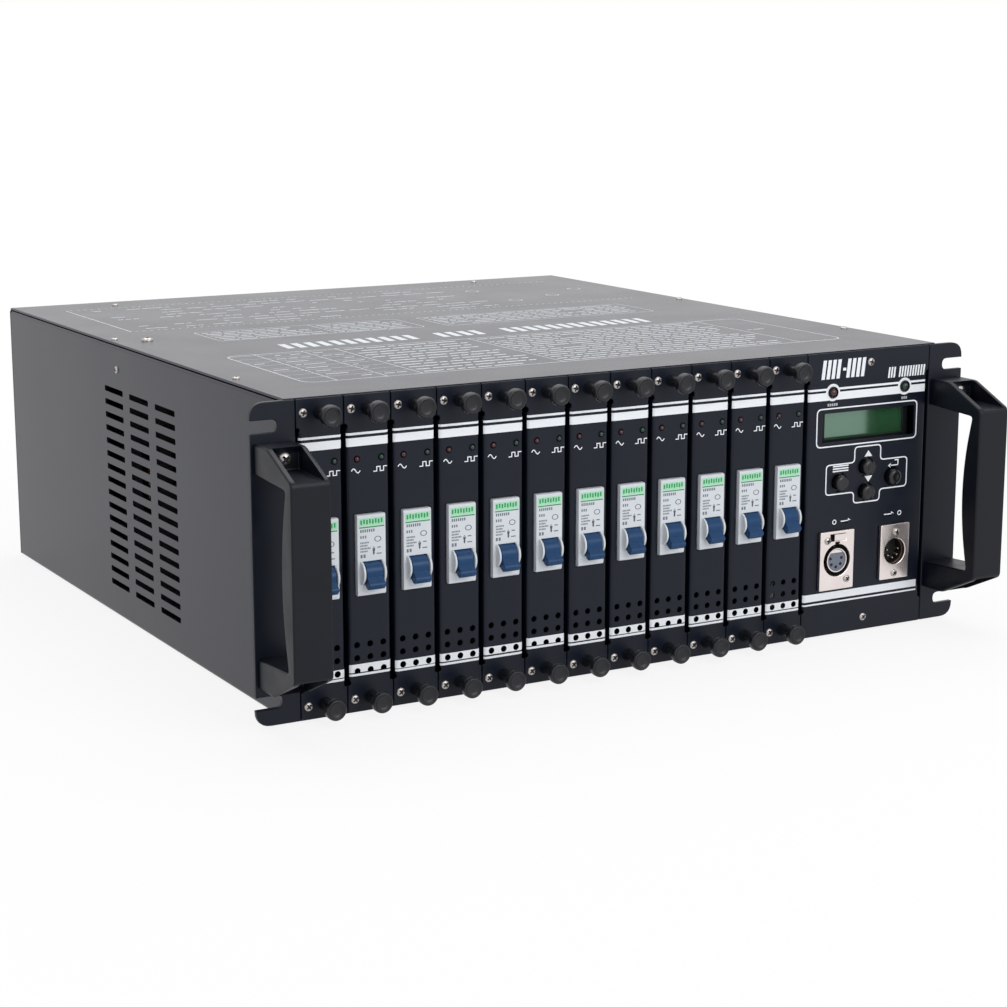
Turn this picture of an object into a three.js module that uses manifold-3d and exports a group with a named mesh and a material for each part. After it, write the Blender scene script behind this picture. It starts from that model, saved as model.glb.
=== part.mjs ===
import * as THREE from 'three';
import { mergeVertices } from 'three/addons/utils/BufferGeometryUtils.js';
import Module from 'manifold-3d';

// Rack dimmer pack, 4 height units, 12 plug-in channel modules and a control panel.
// Millimetres. X to the right seen from the front, Y to the rear, Z up.
// The model is laid out with its front plates at Y = 0 and its underside at Z = 0, and the
// outer group then brings the middle of the case's underside to the origin.

// Shared clearances and sheets
const FIT = 0.3;
const OVERRUN = 2;
const WELD = 0.6;
const MERGE = 1e-4;
const CASE_SHEET = 1.5;
const PANEL_SHEET = 1.5;
const BOARD_SHEET = 1.6;
const SOCKET_PLATE = 2.6;

// Overall case
const CASE_HEIGHT = 177;
const CASE_DEPTH = 465;
const SIDE_MARGIN = 7;
const COVER_SHEET = 1.5;
const COVER_SETBACK = 6;
const COVER_INSET = 1;
const COVER_LIP = 14;
const TOP_FLANGE = 12;
const FRONT_FLANGE = 12.5;
const FRONT_SHELF = 16;
const REAR_FLANGE = 10;
const REAR_SHEET = 1.5;

// Side vents, in columns of level slots
const VENT_COLUMNS = 3;
const VENT_LENGTH = 32;
const VENT_HEIGHT = 3.6;
const VENT_COLUMN_PITCH = 43.3;
const VENT_ROW_PITCH = 8.33;
const VENT_CENTRE_Y = 214.7;
const VENT_DROP = 4.5;
const VENT_MARGIN = 21;

// Front plates
const PANEL_LIFT = 0.5;
const PANEL_GAP = 0.6;
const TAB_HEIGHT = 15.5;
const RELIEF_HEIGHT = 3;
const RELIEF_EXTRA = 0.9;
const FOLD_INSET = 1.75;
const FOLD_DEPTH = 12;

// Rack ears
const EAR_WIDTH = 26.3;
const EAR_PLATE = 3;
const EAR_CORNER = 8;
const EAR_SLOT_INSET = 12.5;
const EAR_SLOT_HEIGHT = 7.8;
const EAR_SLOT_LENGTH = 15.5;
const EAR_ARC_STEPS = 3;
const EAR_FLANGE = 2;
const EAR_FLANGE_DEPTH = 30;
const EAR_FLANGE_CLEAR = 2;

// Bow handles
const HANDLE_WIDTH = 22;
const HANDLE_SLOT_CLEAR = 6.6;
const HANDLE_REACH = 46;
const HANDLE_FOOT_DEPTH = 17;
const HANDLE_SLOPE_DROP = 12.5;
const HANDLE_ARM = 14.5;
const HANDLE_ARM_TAPER = 2.5;
const GRIP_MIDDLE = 12.5;
const GRIP_END = 7;
const HANDLE_FILLET = 6;
const HANDLE_EDGE = 1.4;
const HANDLE_CURVE_STEPS = 4;
const POCKET_WALL = 2.8;
const POCKET_FLOOR = 13.5;
const POCKET_WEB = 3.4;
const POCKET_LIP = 3;

// Channel modules
const CHANNELS = 12;
const TRAY_SHEET = 1.5;
const TRAY_CLEAR = 1.5;
const TRAY_DEPTH = 318;
const KNOB_EDGE = 2;
const KNOB_RADIUS = 6;
const KNOB_NECK = 2.5;
const KNOB_REACH = 16;
const KNOB_CAP = 5.5;
const KNOB_RIM = 1.6;
const KNOB_SIDES = 6;
const HOLE_RADIUS = 1.7;
const HOLE_PITCH_X = 8;
const HOLE_PITCH_Z = 7.1;
const HOLE_COLUMNS = 3;
const HOLE_ROWS = 3;
const HOLE_RISE = 12.2;
const HOLE_SIDES = 4;
const SINK_GAP = 20;
const SINK_LENGTH = 80;
const SINK_HEIGHT = 100;
const SINK_BASE = 4;
const SINK_FINS = 3;
const SINK_FIN = 2.5;
const SINK_CLEAR = 4;
const CHOKE_GAP = 28;
const CHOKE_LENGTH = 50;
const CHOKE_HEIGHT = 52;
const PLUG_HEIGHT = 56;
const PLUG_DEPTH = 12;
const PLUG_CLEAR = 7;
const TONGUE_WIDTH = 5;
const TONGUE_HEIGHT = 46;
const TONGUE_REACH = 7;

// Circuit breakers
const BREAKER_WIDTH = 17.6;
const BREAKER_CLEAR = 1.05;
const BREAKER_HEIGHT = 80;
const BREAKER_DEPTH = 75;
const NOSE_HEIGHT = 45;
const NOSE_PROUD = 2.4;
const NOSE_DEPTH = 19;
const SHOULDER_RISE = 8.5;
const SHOULDER_SLOPE = 4;
const WINDOW_CLEAR = 0.6;
const RAIL_HEIGHT = 35;
const RAIL_NOTCH = 7.5;
const RAIL_SHEET = 1.5;
const LEVER_DROP_SHARE = 0.2156;
const LEVER_SETBACK = 2.4;
const LEVER_WIDTH = 10.8;
const LEVER_BARREL = 6.5;
const LEVER_LENGTH = 10.6;
const LEVER_ROOT = 6.4;
const LEVER_TIP = 4;
const LEVER_CLEAR = 0.8;
const LEVER_ANGLE = 40;
const LEVER_SIDES = 8;
const CHEEK_THICKNESS = 1.6;
const CHEEK_RISE = 0.9;

// Control panel
const CONTROL_WIDTH = 94;
const DISPLAY_CENTRE_SHARES = [0.513, 0.739];
const DISPLAY_SIDE = 11.25;
const DISPLAY_HEIGHT = 18;
const DISPLAY_RECESS = 7;
const DISPLAY_FRAME = 2.5;
const DISPLAY_FRAME_DEPTH = 5;
const DISPLAY_BOARD_MARGIN = 4.2;
const DISPLAY_BOARD_RISE = 7;
const POST_RADIUS = 2;
const POST_INSET = 3;
const POST_SIDES = 6;
const BUTTON_CENTRE_SHARES = [0.5, 0.544];
const BUTTON_SPREAD = 20.5;
const BUTTON_RIM_GAP = 0.65;
const BUTTON_RADIUS = 5.2;
const BUTTON_CLEAR = 0.35;
const BUTTON_REACH = 4.6;
const BUTTON_CROWN_SHARES = [[0, 1], [0.5, 0.93], [0.87, 0.68], [1, 0.25]];
const BUTTON_RIM = 1.2;
const BUTTON_RIM_SHEET = 1.2;
const BUTTON_STEM = 2;
const BUTTON_TRAVEL = 1.2;
const BUTTON_SIDES = 8;
const CONTROL_BOARD_SETBACK = 18;
const CONTROL_BOARD_SIDE = 15.5;
const CONTROL_BOARD_RISE = 2.25;
const SWITCH_SIZE = 6;
const SWITCH_DEPTH = 3.5;
const CHIP_SIZE = 14;
const CHIP_DEPTH = 2;

// Data sockets
const SOCKET_WALL = 1.2;
const SOCKET_DEPTH = 22;
const SOCKET_HOLE_CLEAR = 0.4;
const SOCKET_SIDES = 12;
const OUT_CENTRE_SHARES = [0.287, 0.267];
const OUT_RIM = 2.6;
const RING_OUTER = 10.4;
const RING_INNER = 8.2;
const RING_DEPTH = 12;
const CONTACT_FACE = 6.8;
const CONTACT_FACE_DEPTH = 0.7;
const IN_CENTRE_SHARES = [0.76, 0.27];
const IN_RIM = 2.75;
const IN_HEIGHT = 35;
const CAVITY_RADIUS = 8.5;
const CAVITY_DEPTH = 15;
const CONTACT_COUNT = 5;
const CONTACT_STEP = 55;
const CONTACT_CIRCLE = 4.4;
const CONTACT_RADIUS = 1.1;
const CONTACT_DEPTH = 8;
const CONTACT_SIDES = 6;
const PIN_RADIUS = 1;
const PIN_SETBACK = 4.6;
const KEY_WIDTH = 2.6;
const KEY_RISE = 1.6;
const LATCH_WIDTH = 10;
const LATCH_HEIGHT = 5;
const LATCH_SHEET = 1.2;
const LATCH_PROUD = 0.4;
const LATCH_SHIFT = 3;
const LATCH_EDGE = 1.2;

// Guides and backplane
const GUIDE_START = 20;
const GUIDE_MARGIN = 0.5;
const GUIDE_WALL = 2;
const GROOVE_DEPTH = 2;
const LEG_WIDTH = 3;
const LEG_SHARES = [0.06, 0.36, 0.64, 0.94];
const BACK_SOCKET_WIDTH = 14;
const BACK_SOCKET_HEIGHT = 60;
const BACK_SOCKET_DEPTH = 12;
const BACKPLANE_HEADROOM = 15.4;
const AIR_WINDOWS = 3;
const AIR_WINDOW_WIDTH = 50;
const AIR_WINDOW_MARGIN = 9.3;
const AIR_WINDOW_GAP = 6;

// Fan and rear panel
const FAN_SIDE = 32;
const FAN_SIZE = 120;
const FAN_DEPTH = 25;
const FAN_RIM = 3;
const FAN_BORE_SIDES = 20;
const FAN_CORNER = 6;
const FAN_STRUT = 6;
const FAN_STRUT_DEPTH = 4;
const MOTOR_RADIUS = 19;
const ROTOR_HUB = 19.5;
const ROTOR_CLEAR = 2.7;
const ROTOR_DOME = 2;
const BLADES = 7;
const HUB_SIDES = 12;
const BLADE_CLEAR = 3;
const BLADE_CHORD = 19;
const BLADE_SHEET = 1.6;
const BLADE_ANGLE = 36;
const GUARD_RINGS = 3;
const GUARD_BAR = 3.5;
const GUARD_SPOKES = 4;
const OUTLET_X = 35;
const OUTLET_WIDTH = 84;
const OUTLET_HEIGHT = 36;
const OUTLET_WALL = 3.5;
const OUTLET_FLANGE = 8;
const OUTLET_FLANGE_SHEET = 3;
const OUTLET_REACH = 16;
const OUTLET_INNER = 14;
const OUTLET_CAVITY = 13;
const OUTLET_INSERT_GAP = 3.6;
const OUTLET_INSERT_SETBACK = 4;
const OUTLET_POLES = 8;
const OUTLET_ROWS = 2;
const OUTLET_POLE_SIZE = 3;
const OUTLET_POLE_DEPTH = 6;
const PEG_RADIUS = 2.5;
const PEG_LENGTH = 5;
const GLAND_X = 150;
const GLAND_Z = 60;
const GLAND_BORE = 8;
const GLAND_SLEEVE = 12;
const GLAND_NUT = 16;
const GLAND_NUT_DEPTH = 6;
const GLAND_DOME = 14;
const GLAND_DOME_END = 10.5;
const GLAND_REACH = 26;
const GLAND_TAIL = 10;
const GLAND_SIDES = 10;

// Places that follow from the sizes above
const trayLeft = FOLD_INSET + PANEL_SHEET - WELD;
const trayRight = trayLeft + TRAY_SHEET;
const moduleSide = trayRight + BREAKER_CLEAR;
const pitch = BREAKER_WIDTH + 2 * moduleSide;
const modulesWidth = CHANNELS * pitch;
const bayHalf = (modulesWidth + CONTROL_WIDTH) / 2;
const bayLeft = -bayHalf;
const controlLeft = bayLeft + modulesWidth;
const caseHalf = bayHalf + SIDE_MARGIN;
const rackHalf = bayHalf + EAR_WIDTH;
const panelBottom = PANEL_LIFT;
const panelTop = CASE_HEIGHT - PANEL_LIFT;
const panelHeight = panelTop - panelBottom;
const middleZ = CASE_HEIGHT / 2;
const foldBottom = panelBottom + TAB_HEIGHT + RELIEF_HEIGHT;
const foldTop = panelTop - TAB_HEIGHT - RELIEF_HEIGHT;
const coverBottom = CASE_HEIGHT - COVER_SHEET;
const chassisTop = coverBottom - FIT;
const flangeFront = PANEL_SHEET + FIT;
const flangeBack = flangeFront + CASE_SHEET;
const chassisFront = EAR_PLATE + FIT;
const rearInside = CASE_DEPTH - REAR_SHEET;
const chassisBack = rearInside - FIT;
const trayBottom = FRONT_FLANGE + TRAY_CLEAR;
const trayTop = chassisTop - FRONT_FLANGE - TRAY_CLEAR;
const breakerLeft = (pitch - BREAKER_WIDTH) / 2;
const breakerRight = breakerLeft + BREAKER_WIDTH;
const breakerBack = BREAKER_DEPTH - NOSE_PROUD;
const notchFront = breakerBack - RAIL_NOTCH;
const leverY = LEVER_SETBACK - NOSE_PROUD;
const leverZ = middleZ - LEVER_DROP_SHARE * NOSE_HEIGHT;
const recessRadius = LEVER_BARREL + LEVER_CLEAR;
const sinkStart = breakerBack + SINK_GAP;
const chokeStart = sinkStart + SINK_LENGTH + CHOKE_GAP;
const plugRight = pitch - PLUG_CLEAR;
const backSocketFront = TRAY_DEPTH + FIT;
const backplaneFront = backSocketFront + BACK_SOCKET_DEPTH;
const socketPlateBack = -FIT;
const socketPlateFront = socketPlateBack - SOCKET_PLATE;
const outBarrel = RING_OUTER + SOCKET_WALL;
const inBarrel = CAVITY_RADIUS + SOCKET_WALL;
const displayWidth = CONTROL_WIDTH - 2 * DISPLAY_SIDE;
const [displayX, displayZ] = onControlPanel(DISPLAY_CENTRE_SHARES);
const [buttonX, buttonZ] = onControlPanel(BUTTON_CENTRE_SHARES);
const [outX, outZ] = onControlPanel(OUT_CENTRE_SHARES);
const [inX, inZ] = onControlPanel(IN_CENTRE_SHARES);
const fanX = FAN_SIDE + FAN_SIZE / 2 - caseHalf;
const fanBore = FAN_SIZE / 2 - FAN_RIM;

// A place on the control panel, from its shares of the panel's width and height
function onControlPanel([shareX, shareZ]) {
  return [shareX * CONTROL_WIDTH, panelBottom + shareZ * panelHeight];
}

const wasm = await Module();
wasm.setup();

// A closed three.js geometry becomes a solid that can be joined and cut
function solidFrom(geometry) {
  const bare = geometry.clone();
  bare.deleteAttribute('normal');
  bare.deleteAttribute('uv');
  const merged = mergeVertices(bare, MERGE);
  const corners = merged.index.array;
  const triVerts = [];
  for (let i = 0; i < corners.length; i += 3) {
    const [a, b, c] = [corners[i], corners[i + 1], corners[i + 2]];
    if (a !== b && b !== c && c !== a) triVerts.push(a, b, c);
  }
  return new wasm.Manifold(new wasm.Mesh({
    numProp: 3,
    vertProperties: new Float32Array(merged.attributes.position.array),
    triVerts: new Uint32Array(triVerts),
  }));
}

function geometryFrom(solid) {
  const { vertProperties, triVerts } = solid.getMesh();
  const geometry = new THREE.BufferGeometry();
  geometry.setAttribute('position', new THREE.BufferAttribute(vertProperties, 3));
  geometry.setIndex(new THREE.BufferAttribute(triVerts, 1));
  geometry.computeVertexNormals();
  return geometry;
}

function join(solids) {
  return solids.reduce((whole, solid) => whole.add(solid));
}

function block(x0, x1, y0, y1, z0, z1) {
  const box = new THREE.BoxGeometry(x1 - x0, y1 - y0, z1 - z0);
  box.translate((x0 + x1) / 2, (y0 + y1) / 2, (z0 + z1) / 2);
  return solidFrom(box);
}

function outline(points) {
  return new THREE.Shape(points.map(([a, b]) => new THREE.Vector2(a, b)));
}

function rectangle(a, b, width, height) {
  const [w, h] = [width / 2, height / 2];
  return outline([[a - w, b - h], [a + w, b - h], [a + w, b + h], [a - w, b + h]]);
}

function circle(a, b, radius, sides) {
  const points = [];
  for (let i = 0; i < sides; i += 1) {
    const angle = (i + 0.5) * 2 * Math.PI / sides;
    points.push([a + radius * Math.cos(angle), b + radius * Math.sin(angle)]);
  }
  return outline(points);
}

function octagonal(a, b, width, height, corner) {
  const [w, h] = [width / 2, height / 2];
  return outline([
    [a - w + corner, b - h], [a + w - corner, b - h], [a + w, b - h + corner], [a + w, b + h - corner],
    [a + w - corner, b + h], [a - w + corner, b + h], [a - w, b + h - corner], [a - w, b - h + corner],
  ]);
}

// Outlines drawn in X and Z are pulled along Y, and those drawn in Y and Z along X
function alongY(shapes, y0, y1) {
  const geometry = new THREE.ExtrudeGeometry(shapes, { depth: y1 - y0, bevelEnabled: false });
  geometry.rotateX(Math.PI / 2);
  geometry.translate(0, y1, 0);
  return solidFrom(geometry);
}

const yzPlane = new THREE.Matrix4().makeBasis(
  new THREE.Vector3(0, 1, 0), new THREE.Vector3(0, 0, 1), new THREE.Vector3(1, 0, 0));

function alongX(shapes, x0, x1) {
  const geometry = new THREE.ExtrudeGeometry(shapes, { depth: x1 - x0, bevelEnabled: false });
  geometry.applyMatrix4(yzPlane);
  geometry.translate(x0, 0, 0);
  return solidFrom(geometry);
}

// A profile of [radius, y] points, front to rear, turned about a line along Y
function turned(profile, x, z, sides) {
  const geometry = new THREE.LatheGeometry(profile.map(([r, y]) => new THREE.Vector2(r, y)), sides);
  geometry.translate(x, 0, z);
  return solidFrom(geometry);
}

// Finishes
const caseGrey = new THREE.MeshStandardMaterial({ color: 0x55585b, roughness: 0.6, metalness: 0.3 });
const plateBlack = new THREE.MeshStandardMaterial({ color: 0x26282f, roughness: 0.45, metalness: 0.3 });
const plasticBlack = new THREE.MeshStandardMaterial({ color: 0x1d1f23, roughness: 0.5, metalness: 0 });
const plasticWhite = new THREE.MeshStandardMaterial({ color: 0xd8dbe0, roughness: 0.4, metalness: 0 });
const plasticBlue = new THREE.MeshStandardMaterial({ color: 0x2c5d8c, roughness: 0.35, metalness: 0 });
const nickel = new THREE.MeshStandardMaterial({ color: 0xc9c1bd, roughness: 0.3, metalness: 0.9 });
const zinc = new THREE.MeshStandardMaterial({ color: 0xa9acae, roughness: 0.4, metalness: 0.8 });
const boardGreen = new THREE.MeshStandardMaterial({ color: 0x1f5c36, roughness: 0.5, metalness: 0 });
const displayGreen = new THREE.MeshStandardMaterial({ color: 0x78a087, roughness: 0.25, metalness: 0 });

const layout = new THREE.Group();

function place(name, geometry, material, position = [0, 0, 0], turn = 0) {
  const mesh = new THREE.Mesh(geometry, material);
  mesh.name = name;
  mesh.position.set(...position);
  mesh.rotation.x = turn;
  layout.add(mesh);
}

// Chassis: floor, vented sides, in-turned flanges and the two bars that the plates screw to
function ventOutlines() {
  const slots = [];
  const rows = Math.floor((CASE_HEIGHT - 2 * VENT_MARGIN) / VENT_ROW_PITCH);
  for (let column = 0; column < VENT_COLUMNS; column += 1) {
    const y = VENT_CENTRE_Y + (column - (VENT_COLUMNS - 1) / 2) * VENT_COLUMN_PITCH;
    for (let row = 0; row < rows; row += 1) {
      const z = middleZ - VENT_DROP + (row - (rows - 1) / 2) * VENT_ROW_PITCH;
      slots.push(rectangle(y, z, VENT_LENGTH, VENT_HEIGHT));
    }
  }
  return slots;
}

function chassis() {
  const barHalf = bayHalf - FIT;
  const inside = caseHalf - CASE_SHEET;
  const sheetTop = chassisTop - CASE_SHEET;
  const pieces = [
    block(-caseHalf, caseHalf, chassisFront, chassisBack, 0, CASE_SHEET),
    block(-barHalf, barHalf, flangeFront, chassisFront + WELD, 0, CASE_SHEET),
    block(-barHalf, barHalf, flangeFront, flangeBack, 0, FRONT_FLANGE),
    block(-barHalf, barHalf, flangeFront, flangeBack, chassisTop - FRONT_FLANGE, chassisTop),
    block(-barHalf, barHalf, flangeFront, chassisFront + WELD, sheetTop, chassisTop),
    block(-caseHalf, caseHalf, chassisFront, flangeFront + FRONT_SHELF, sheetTop, chassisTop),
  ];
  for (const side of [-1, 1]) {
    const across = (near, far) => [Math.min(side * near, side * far), Math.max(side * near, side * far)];
    pieces.push(
      block(...across(inside, caseHalf), chassisFront, chassisBack, 0, chassisTop),
      block(...across(inside - TOP_FLANGE, caseHalf), chassisFront, chassisBack, sheetTop, chassisTop),
      block(...across(inside - REAR_FLANGE, caseHalf), chassisBack - CASE_SHEET, chassisBack, 0, chassisTop),
    );
  }
  const vents = alongX(ventOutlines(), -caseHalf - OVERRUN, caseHalf + OVERRUN);
  return join(pieces).subtract(vents);
}

place('chassis', geometryFrom(chassis()), caseGrey);

// Top cover: a sheet set back from the plates, with a lip over the rear panel
function topCover() {
  const half = caseHalf - COVER_INSET;
  const lipFront = CASE_DEPTH + FIT;
  const lipBack = lipFront + COVER_SHEET;
  return join([
    block(-half, half, COVER_SETBACK, lipBack, coverBottom, CASE_HEIGHT),
    block(-half, half, lipFront, lipBack, CASE_HEIGHT - COVER_LIP, CASE_HEIGHT),
  ]);
}

place('top_cover', geometryFrom(topCover()), caseGrey);

// Rear panel, with the fan's punched guard and the cut-outs for the outlet and the gland
function guardOpenings() {
  const openings = [];
  const step = fanBore / (GUARD_RINGS + 1);
  for (let ring = 1; ring <= GUARD_RINGS; ring += 1) {
    const inner = ring * step;
    const outer = inner + step - GUARD_BAR;
    for (let spoke = 0; spoke < GUARD_SPOKES; spoke += 1) {
      const arcSteps = ring;
      const start = (spoke + 0.5) * 2 * Math.PI / GUARD_SPOKES;
      const end = start + 2 * Math.PI / GUARD_SPOKES;
      const trim = (radius) => Math.asin(GUARD_BAR / 2 / radius);
      const arc = new THREE.Shape();
      arc.absarc(fanX, middleZ, outer, start + trim(outer), end - trim(outer), false);
      arc.absarc(fanX, middleZ, inner, end - trim(inner), start + trim(inner), true);
      openings.push(outline(arc.getPoints(arcSteps).map((point) => [point.x, point.y])));
    }
  }
  return openings;
}

function rearPanel() {
  const sheet = block(-caseHalf, caseHalf, rearInside, CASE_DEPTH, PANEL_LIFT, chassisTop);
  const outletWidth = OUTLET_WIDTH + 2 * FIT;
  const outletHeight = OUTLET_HEIGHT + 2 * FIT;
  const cuts = [
    rectangle(OUTLET_X, middleZ, outletWidth, outletHeight),
    circle(GLAND_X, GLAND_Z, GLAND_SLEEVE + 2 * FIT, GLAND_SIDES),
  ];
  return sheet.subtract(alongY([...guardOpenings(), ...cuts], rearInside - OVERRUN, CASE_DEPTH + OVERRUN));
}

place('rear_panel', geometryFrom(rearPanel()), caseGrey);

// Rack ears: a slotted plate with a flange that runs back inside the chassis wall
function earOutline(side) {
  const slotRadius = EAR_SLOT_HEIGHT / 2;
  const slotEnd = rackHalf - EAR_SLOT_LENGTH + slotRadius;
  const lowSlot = panelBottom + EAR_SLOT_INSET;
  const highSlot = panelTop - EAR_SLOT_INSET;
  const cornerX = rackHalf - EAR_CORNER;
  const shape = new THREE.Shape();
  shape.moveTo(bayHalf + FIT, panelBottom);
  shape.lineTo(cornerX, panelBottom);
  shape.absarc(cornerX, panelBottom + EAR_CORNER, EAR_CORNER, -Math.PI / 2, 0, false);
  for (const z of [lowSlot, highSlot]) {
    shape.lineTo(rackHalf, z - slotRadius);
    shape.absarc(slotEnd, z, slotRadius, -Math.PI / 2, -3 * Math.PI / 2, true);
    shape.lineTo(rackHalf, z + slotRadius);
  }
  shape.absarc(cornerX, panelTop - EAR_CORNER, EAR_CORNER, 0, Math.PI / 2, false);
  shape.lineTo(bayHalf + FIT, panelTop);
  return outline(shape.getPoints(EAR_ARC_STEPS).map((point) => [side * point.x, point.y]));
}

function rackEar(side) {
  const plate = alongY(earOutline(side), 0, EAR_PLATE);
  const outer = side * (caseHalf - CASE_SHEET - FIT);
  const inner = outer - side * EAR_FLANGE;
  const flange = block(Math.min(inner, outer), Math.max(inner, outer), EAR_PLATE - WELD,
    EAR_PLATE + EAR_FLANGE_DEPTH, CASE_SHEET + EAR_FLANGE_CLEAR, chassisTop - CASE_SHEET - EAR_FLANGE_CLEAR);
  return plate.add(flange);
}

place('rack_ear_left', geometryFrom(rackEar(-1)), plateBlack);
place('rack_ear_right', geometryFrom(rackEar(1)), plateBlack);

// Handles: a moulded bow with a swollen grip and an open screw pocket in each sloped end
const handleHalf = panelHeight / 2 - EAR_SLOT_INSET - EAR_SLOT_HEIGHT / 2 - HANDLE_SLOT_CLEAR;

function handleOutline() {
  const slopeEnd = handleHalf - HANDLE_SLOPE_DROP;
  const armInner = handleHalf - HANDLE_ARM;
  const armOuter = armInner - HANDLE_ARM_TAPER;
  const front = -HANDLE_REACH;
  const gripEnd = front + GRIP_END;
  const gripBulge = front + 2 * GRIP_MIDDLE - GRIP_END;
  const shape = new THREE.Shape();
  shape.moveTo(0, -handleHalf);
  shape.lineTo(0, -armInner);
  shape.lineTo(gripEnd + HANDLE_FILLET, -armOuter);
  shape.quadraticCurveTo(gripEnd, -armOuter, gripEnd, -armOuter + HANDLE_FILLET);
  shape.quadraticCurveTo(gripBulge, 0, gripEnd, armOuter - HANDLE_FILLET);
  shape.quadraticCurveTo(gripEnd, armOuter, gripEnd + HANDLE_FILLET, armOuter);
  shape.lineTo(0, armInner);
  shape.lineTo(0, handleHalf);
  shape.lineTo(-HANDLE_FOOT_DEPTH, handleHalf);
  shape.lineTo(front, slopeEnd);
  shape.lineTo(front, -slopeEnd);
  shape.lineTo(-HANDLE_FOOT_DEPTH, -handleHalf);
  return shape;
}

function handlePocket(up) {
  const web = handleHalf - HANDLE_ARM + POCKET_WEB;
  const beyond = -HANDLE_REACH - OVERRUN;
  const x = HANDLE_WIDTH / 2 - POCKET_WALL;
  return alongX(outline([
    [-POCKET_FLOOR, up * web], [-POCKET_FLOOR, up * (handleHalf - POCKET_LIP)],
    [beyond, up * (handleHalf - POCKET_LIP)], [beyond, up * (web - HANDLE_ARM_TAPER)],
  ]), -x, x);
}

function handle() {
  const geometry = new THREE.ExtrudeGeometry(handleOutline(), {
    depth: HANDLE_WIDTH - 2 * HANDLE_EDGE,
    curveSegments: HANDLE_CURVE_STEPS,
    bevelThickness: HANDLE_EDGE,
    bevelSize: HANDLE_EDGE,
    bevelOffset: -HANDLE_EDGE,
    bevelSegments: 1,
  });
  geometry.applyMatrix4(yzPlane);
  geometry.translate(HANDLE_EDGE - HANDLE_WIDTH / 2, 0, 0);
  return solidFrom(geometry).subtract(handlePocket(1)).subtract(handlePocket(-1));
}

const handleGeometry = geometryFrom(handle());
const handleX = bayHalf + EAR_WIDTH / 2;
place('handle_left', handleGeometry, plasticBlack, [-handleX, -FIT, middleZ]);
place('handle_right', handleGeometry, plasticBlack, [handleX, -FIT, middleZ]);

// A front plate: full width at its screw tabs, folded back along both sides between them
function frontPlate(width) {
  const [x0, x1] = [PANEL_GAP / 2, width - PANEL_GAP / 2];
  const [fold0, fold1] = [FOLD_INSET, width - FOLD_INSET];
  const [relief0, relief1] = [fold0 + RELIEF_EXTRA, fold1 - RELIEF_EXTRA];
  const tabTop = panelBottom + TAB_HEIGHT;
  const tabBottom = panelTop - TAB_HEIGHT;
  const sheet = alongY(outline([
    [x0, panelBottom], [x1, panelBottom], [x1, tabTop], [relief1, tabTop],
    [relief1, foldBottom], [fold1, foldBottom], [fold1, foldTop], [relief1, foldTop],
    [relief1, tabBottom], [x1, tabBottom], [x1, panelTop], [x0, panelTop],
    [x0, tabBottom], [relief0, tabBottom], [relief0, foldTop], [fold0, foldTop],
    [fold0, foldBottom], [relief0, foldBottom], [relief0, tabTop], [x0, tabTop],
  ]), 0, PANEL_SHEET);
  return join([
    sheet,
    block(fold0, fold0 + PANEL_SHEET, 0, FOLD_DEPTH, foldBottom, foldTop),
    block(fold1 - PANEL_SHEET, fold1, 0, FOLD_DEPTH, foldBottom, foldTop),
  ]);
}

// Channel module: front plate, pull knobs, carrier sheet, heat sink, choke and rear plug
function pullKnob(z) {
  const capBack = KNOB_CAP - KNOB_REACH;
  return turned([
    [0, -KNOB_REACH], [KNOB_RADIUS, capBack - KNOB_RIM], [KNOB_NECK, capBack],
    [KNOB_NECK, PANEL_SHEET / 2], [0, PANEL_SHEET / 2],
  ], pitch / 2, z, KNOB_SIDES);
}

function plateHoles() {
  const holes = [];
  for (let column = 0; column < HOLE_COLUMNS; column += 1) {
    for (let row = 0; row < HOLE_ROWS; row += 1) {
      const x = pitch / 2 + (column - (HOLE_COLUMNS - 1) / 2) * HOLE_PITCH_X;
      const z = foldBottom + HOLE_RISE + (row - (HOLE_ROWS - 1) / 2) * HOLE_PITCH_Z;
      holes.push(circle(x, z, HOLE_RADIUS, HOLE_SIDES));
    }
  }
  return holes;
}

function heatSink() {
  const root = trayRight - WELD;
  const face = trayRight + SINK_BASE;
  const tip = pitch - SINK_CLEAR;
  const low = middleZ - SINK_HEIGHT / 2;
  const step = (SINK_HEIGHT - SINK_FIN) / (SINK_FINS - 1);
  const points = [[root, low]];
  for (let fin = 0; fin < SINK_FINS; fin += 1) {
    const z = low + fin * step;
    if (fin > 0) points.push([face, z]);
    points.push([tip, z], [tip, z + SINK_FIN]);
    if (fin < SINK_FINS - 1) points.push([face, z + SINK_FIN]);
  }
  points.push([root, low + SINK_HEIGHT]);
  return alongY(outline(points), sinkStart, sinkStart + SINK_LENGTH);
}

function choke() {
  return block(trayRight - WELD, pitch - SINK_CLEAR, chokeStart, chokeStart + CHOKE_LENGTH,
    middleZ - CHOKE_HEIGHT / 2, middleZ + CHOKE_HEIGHT / 2);
}

function rearPlug() {
  const tongue = rectangle(pitch / 2, middleZ, TONGUE_WIDTH, TONGUE_HEIGHT);
  return alongY(tongue, TRAY_DEPTH - WELD, TRAY_DEPTH + TONGUE_REACH)
    .add(block(trayLeft, plugRight, TRAY_DEPTH - PLUG_DEPTH, TRAY_DEPTH,
      middleZ - PLUG_HEIGHT / 2, middleZ + PLUG_HEIGHT / 2));
}

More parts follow.
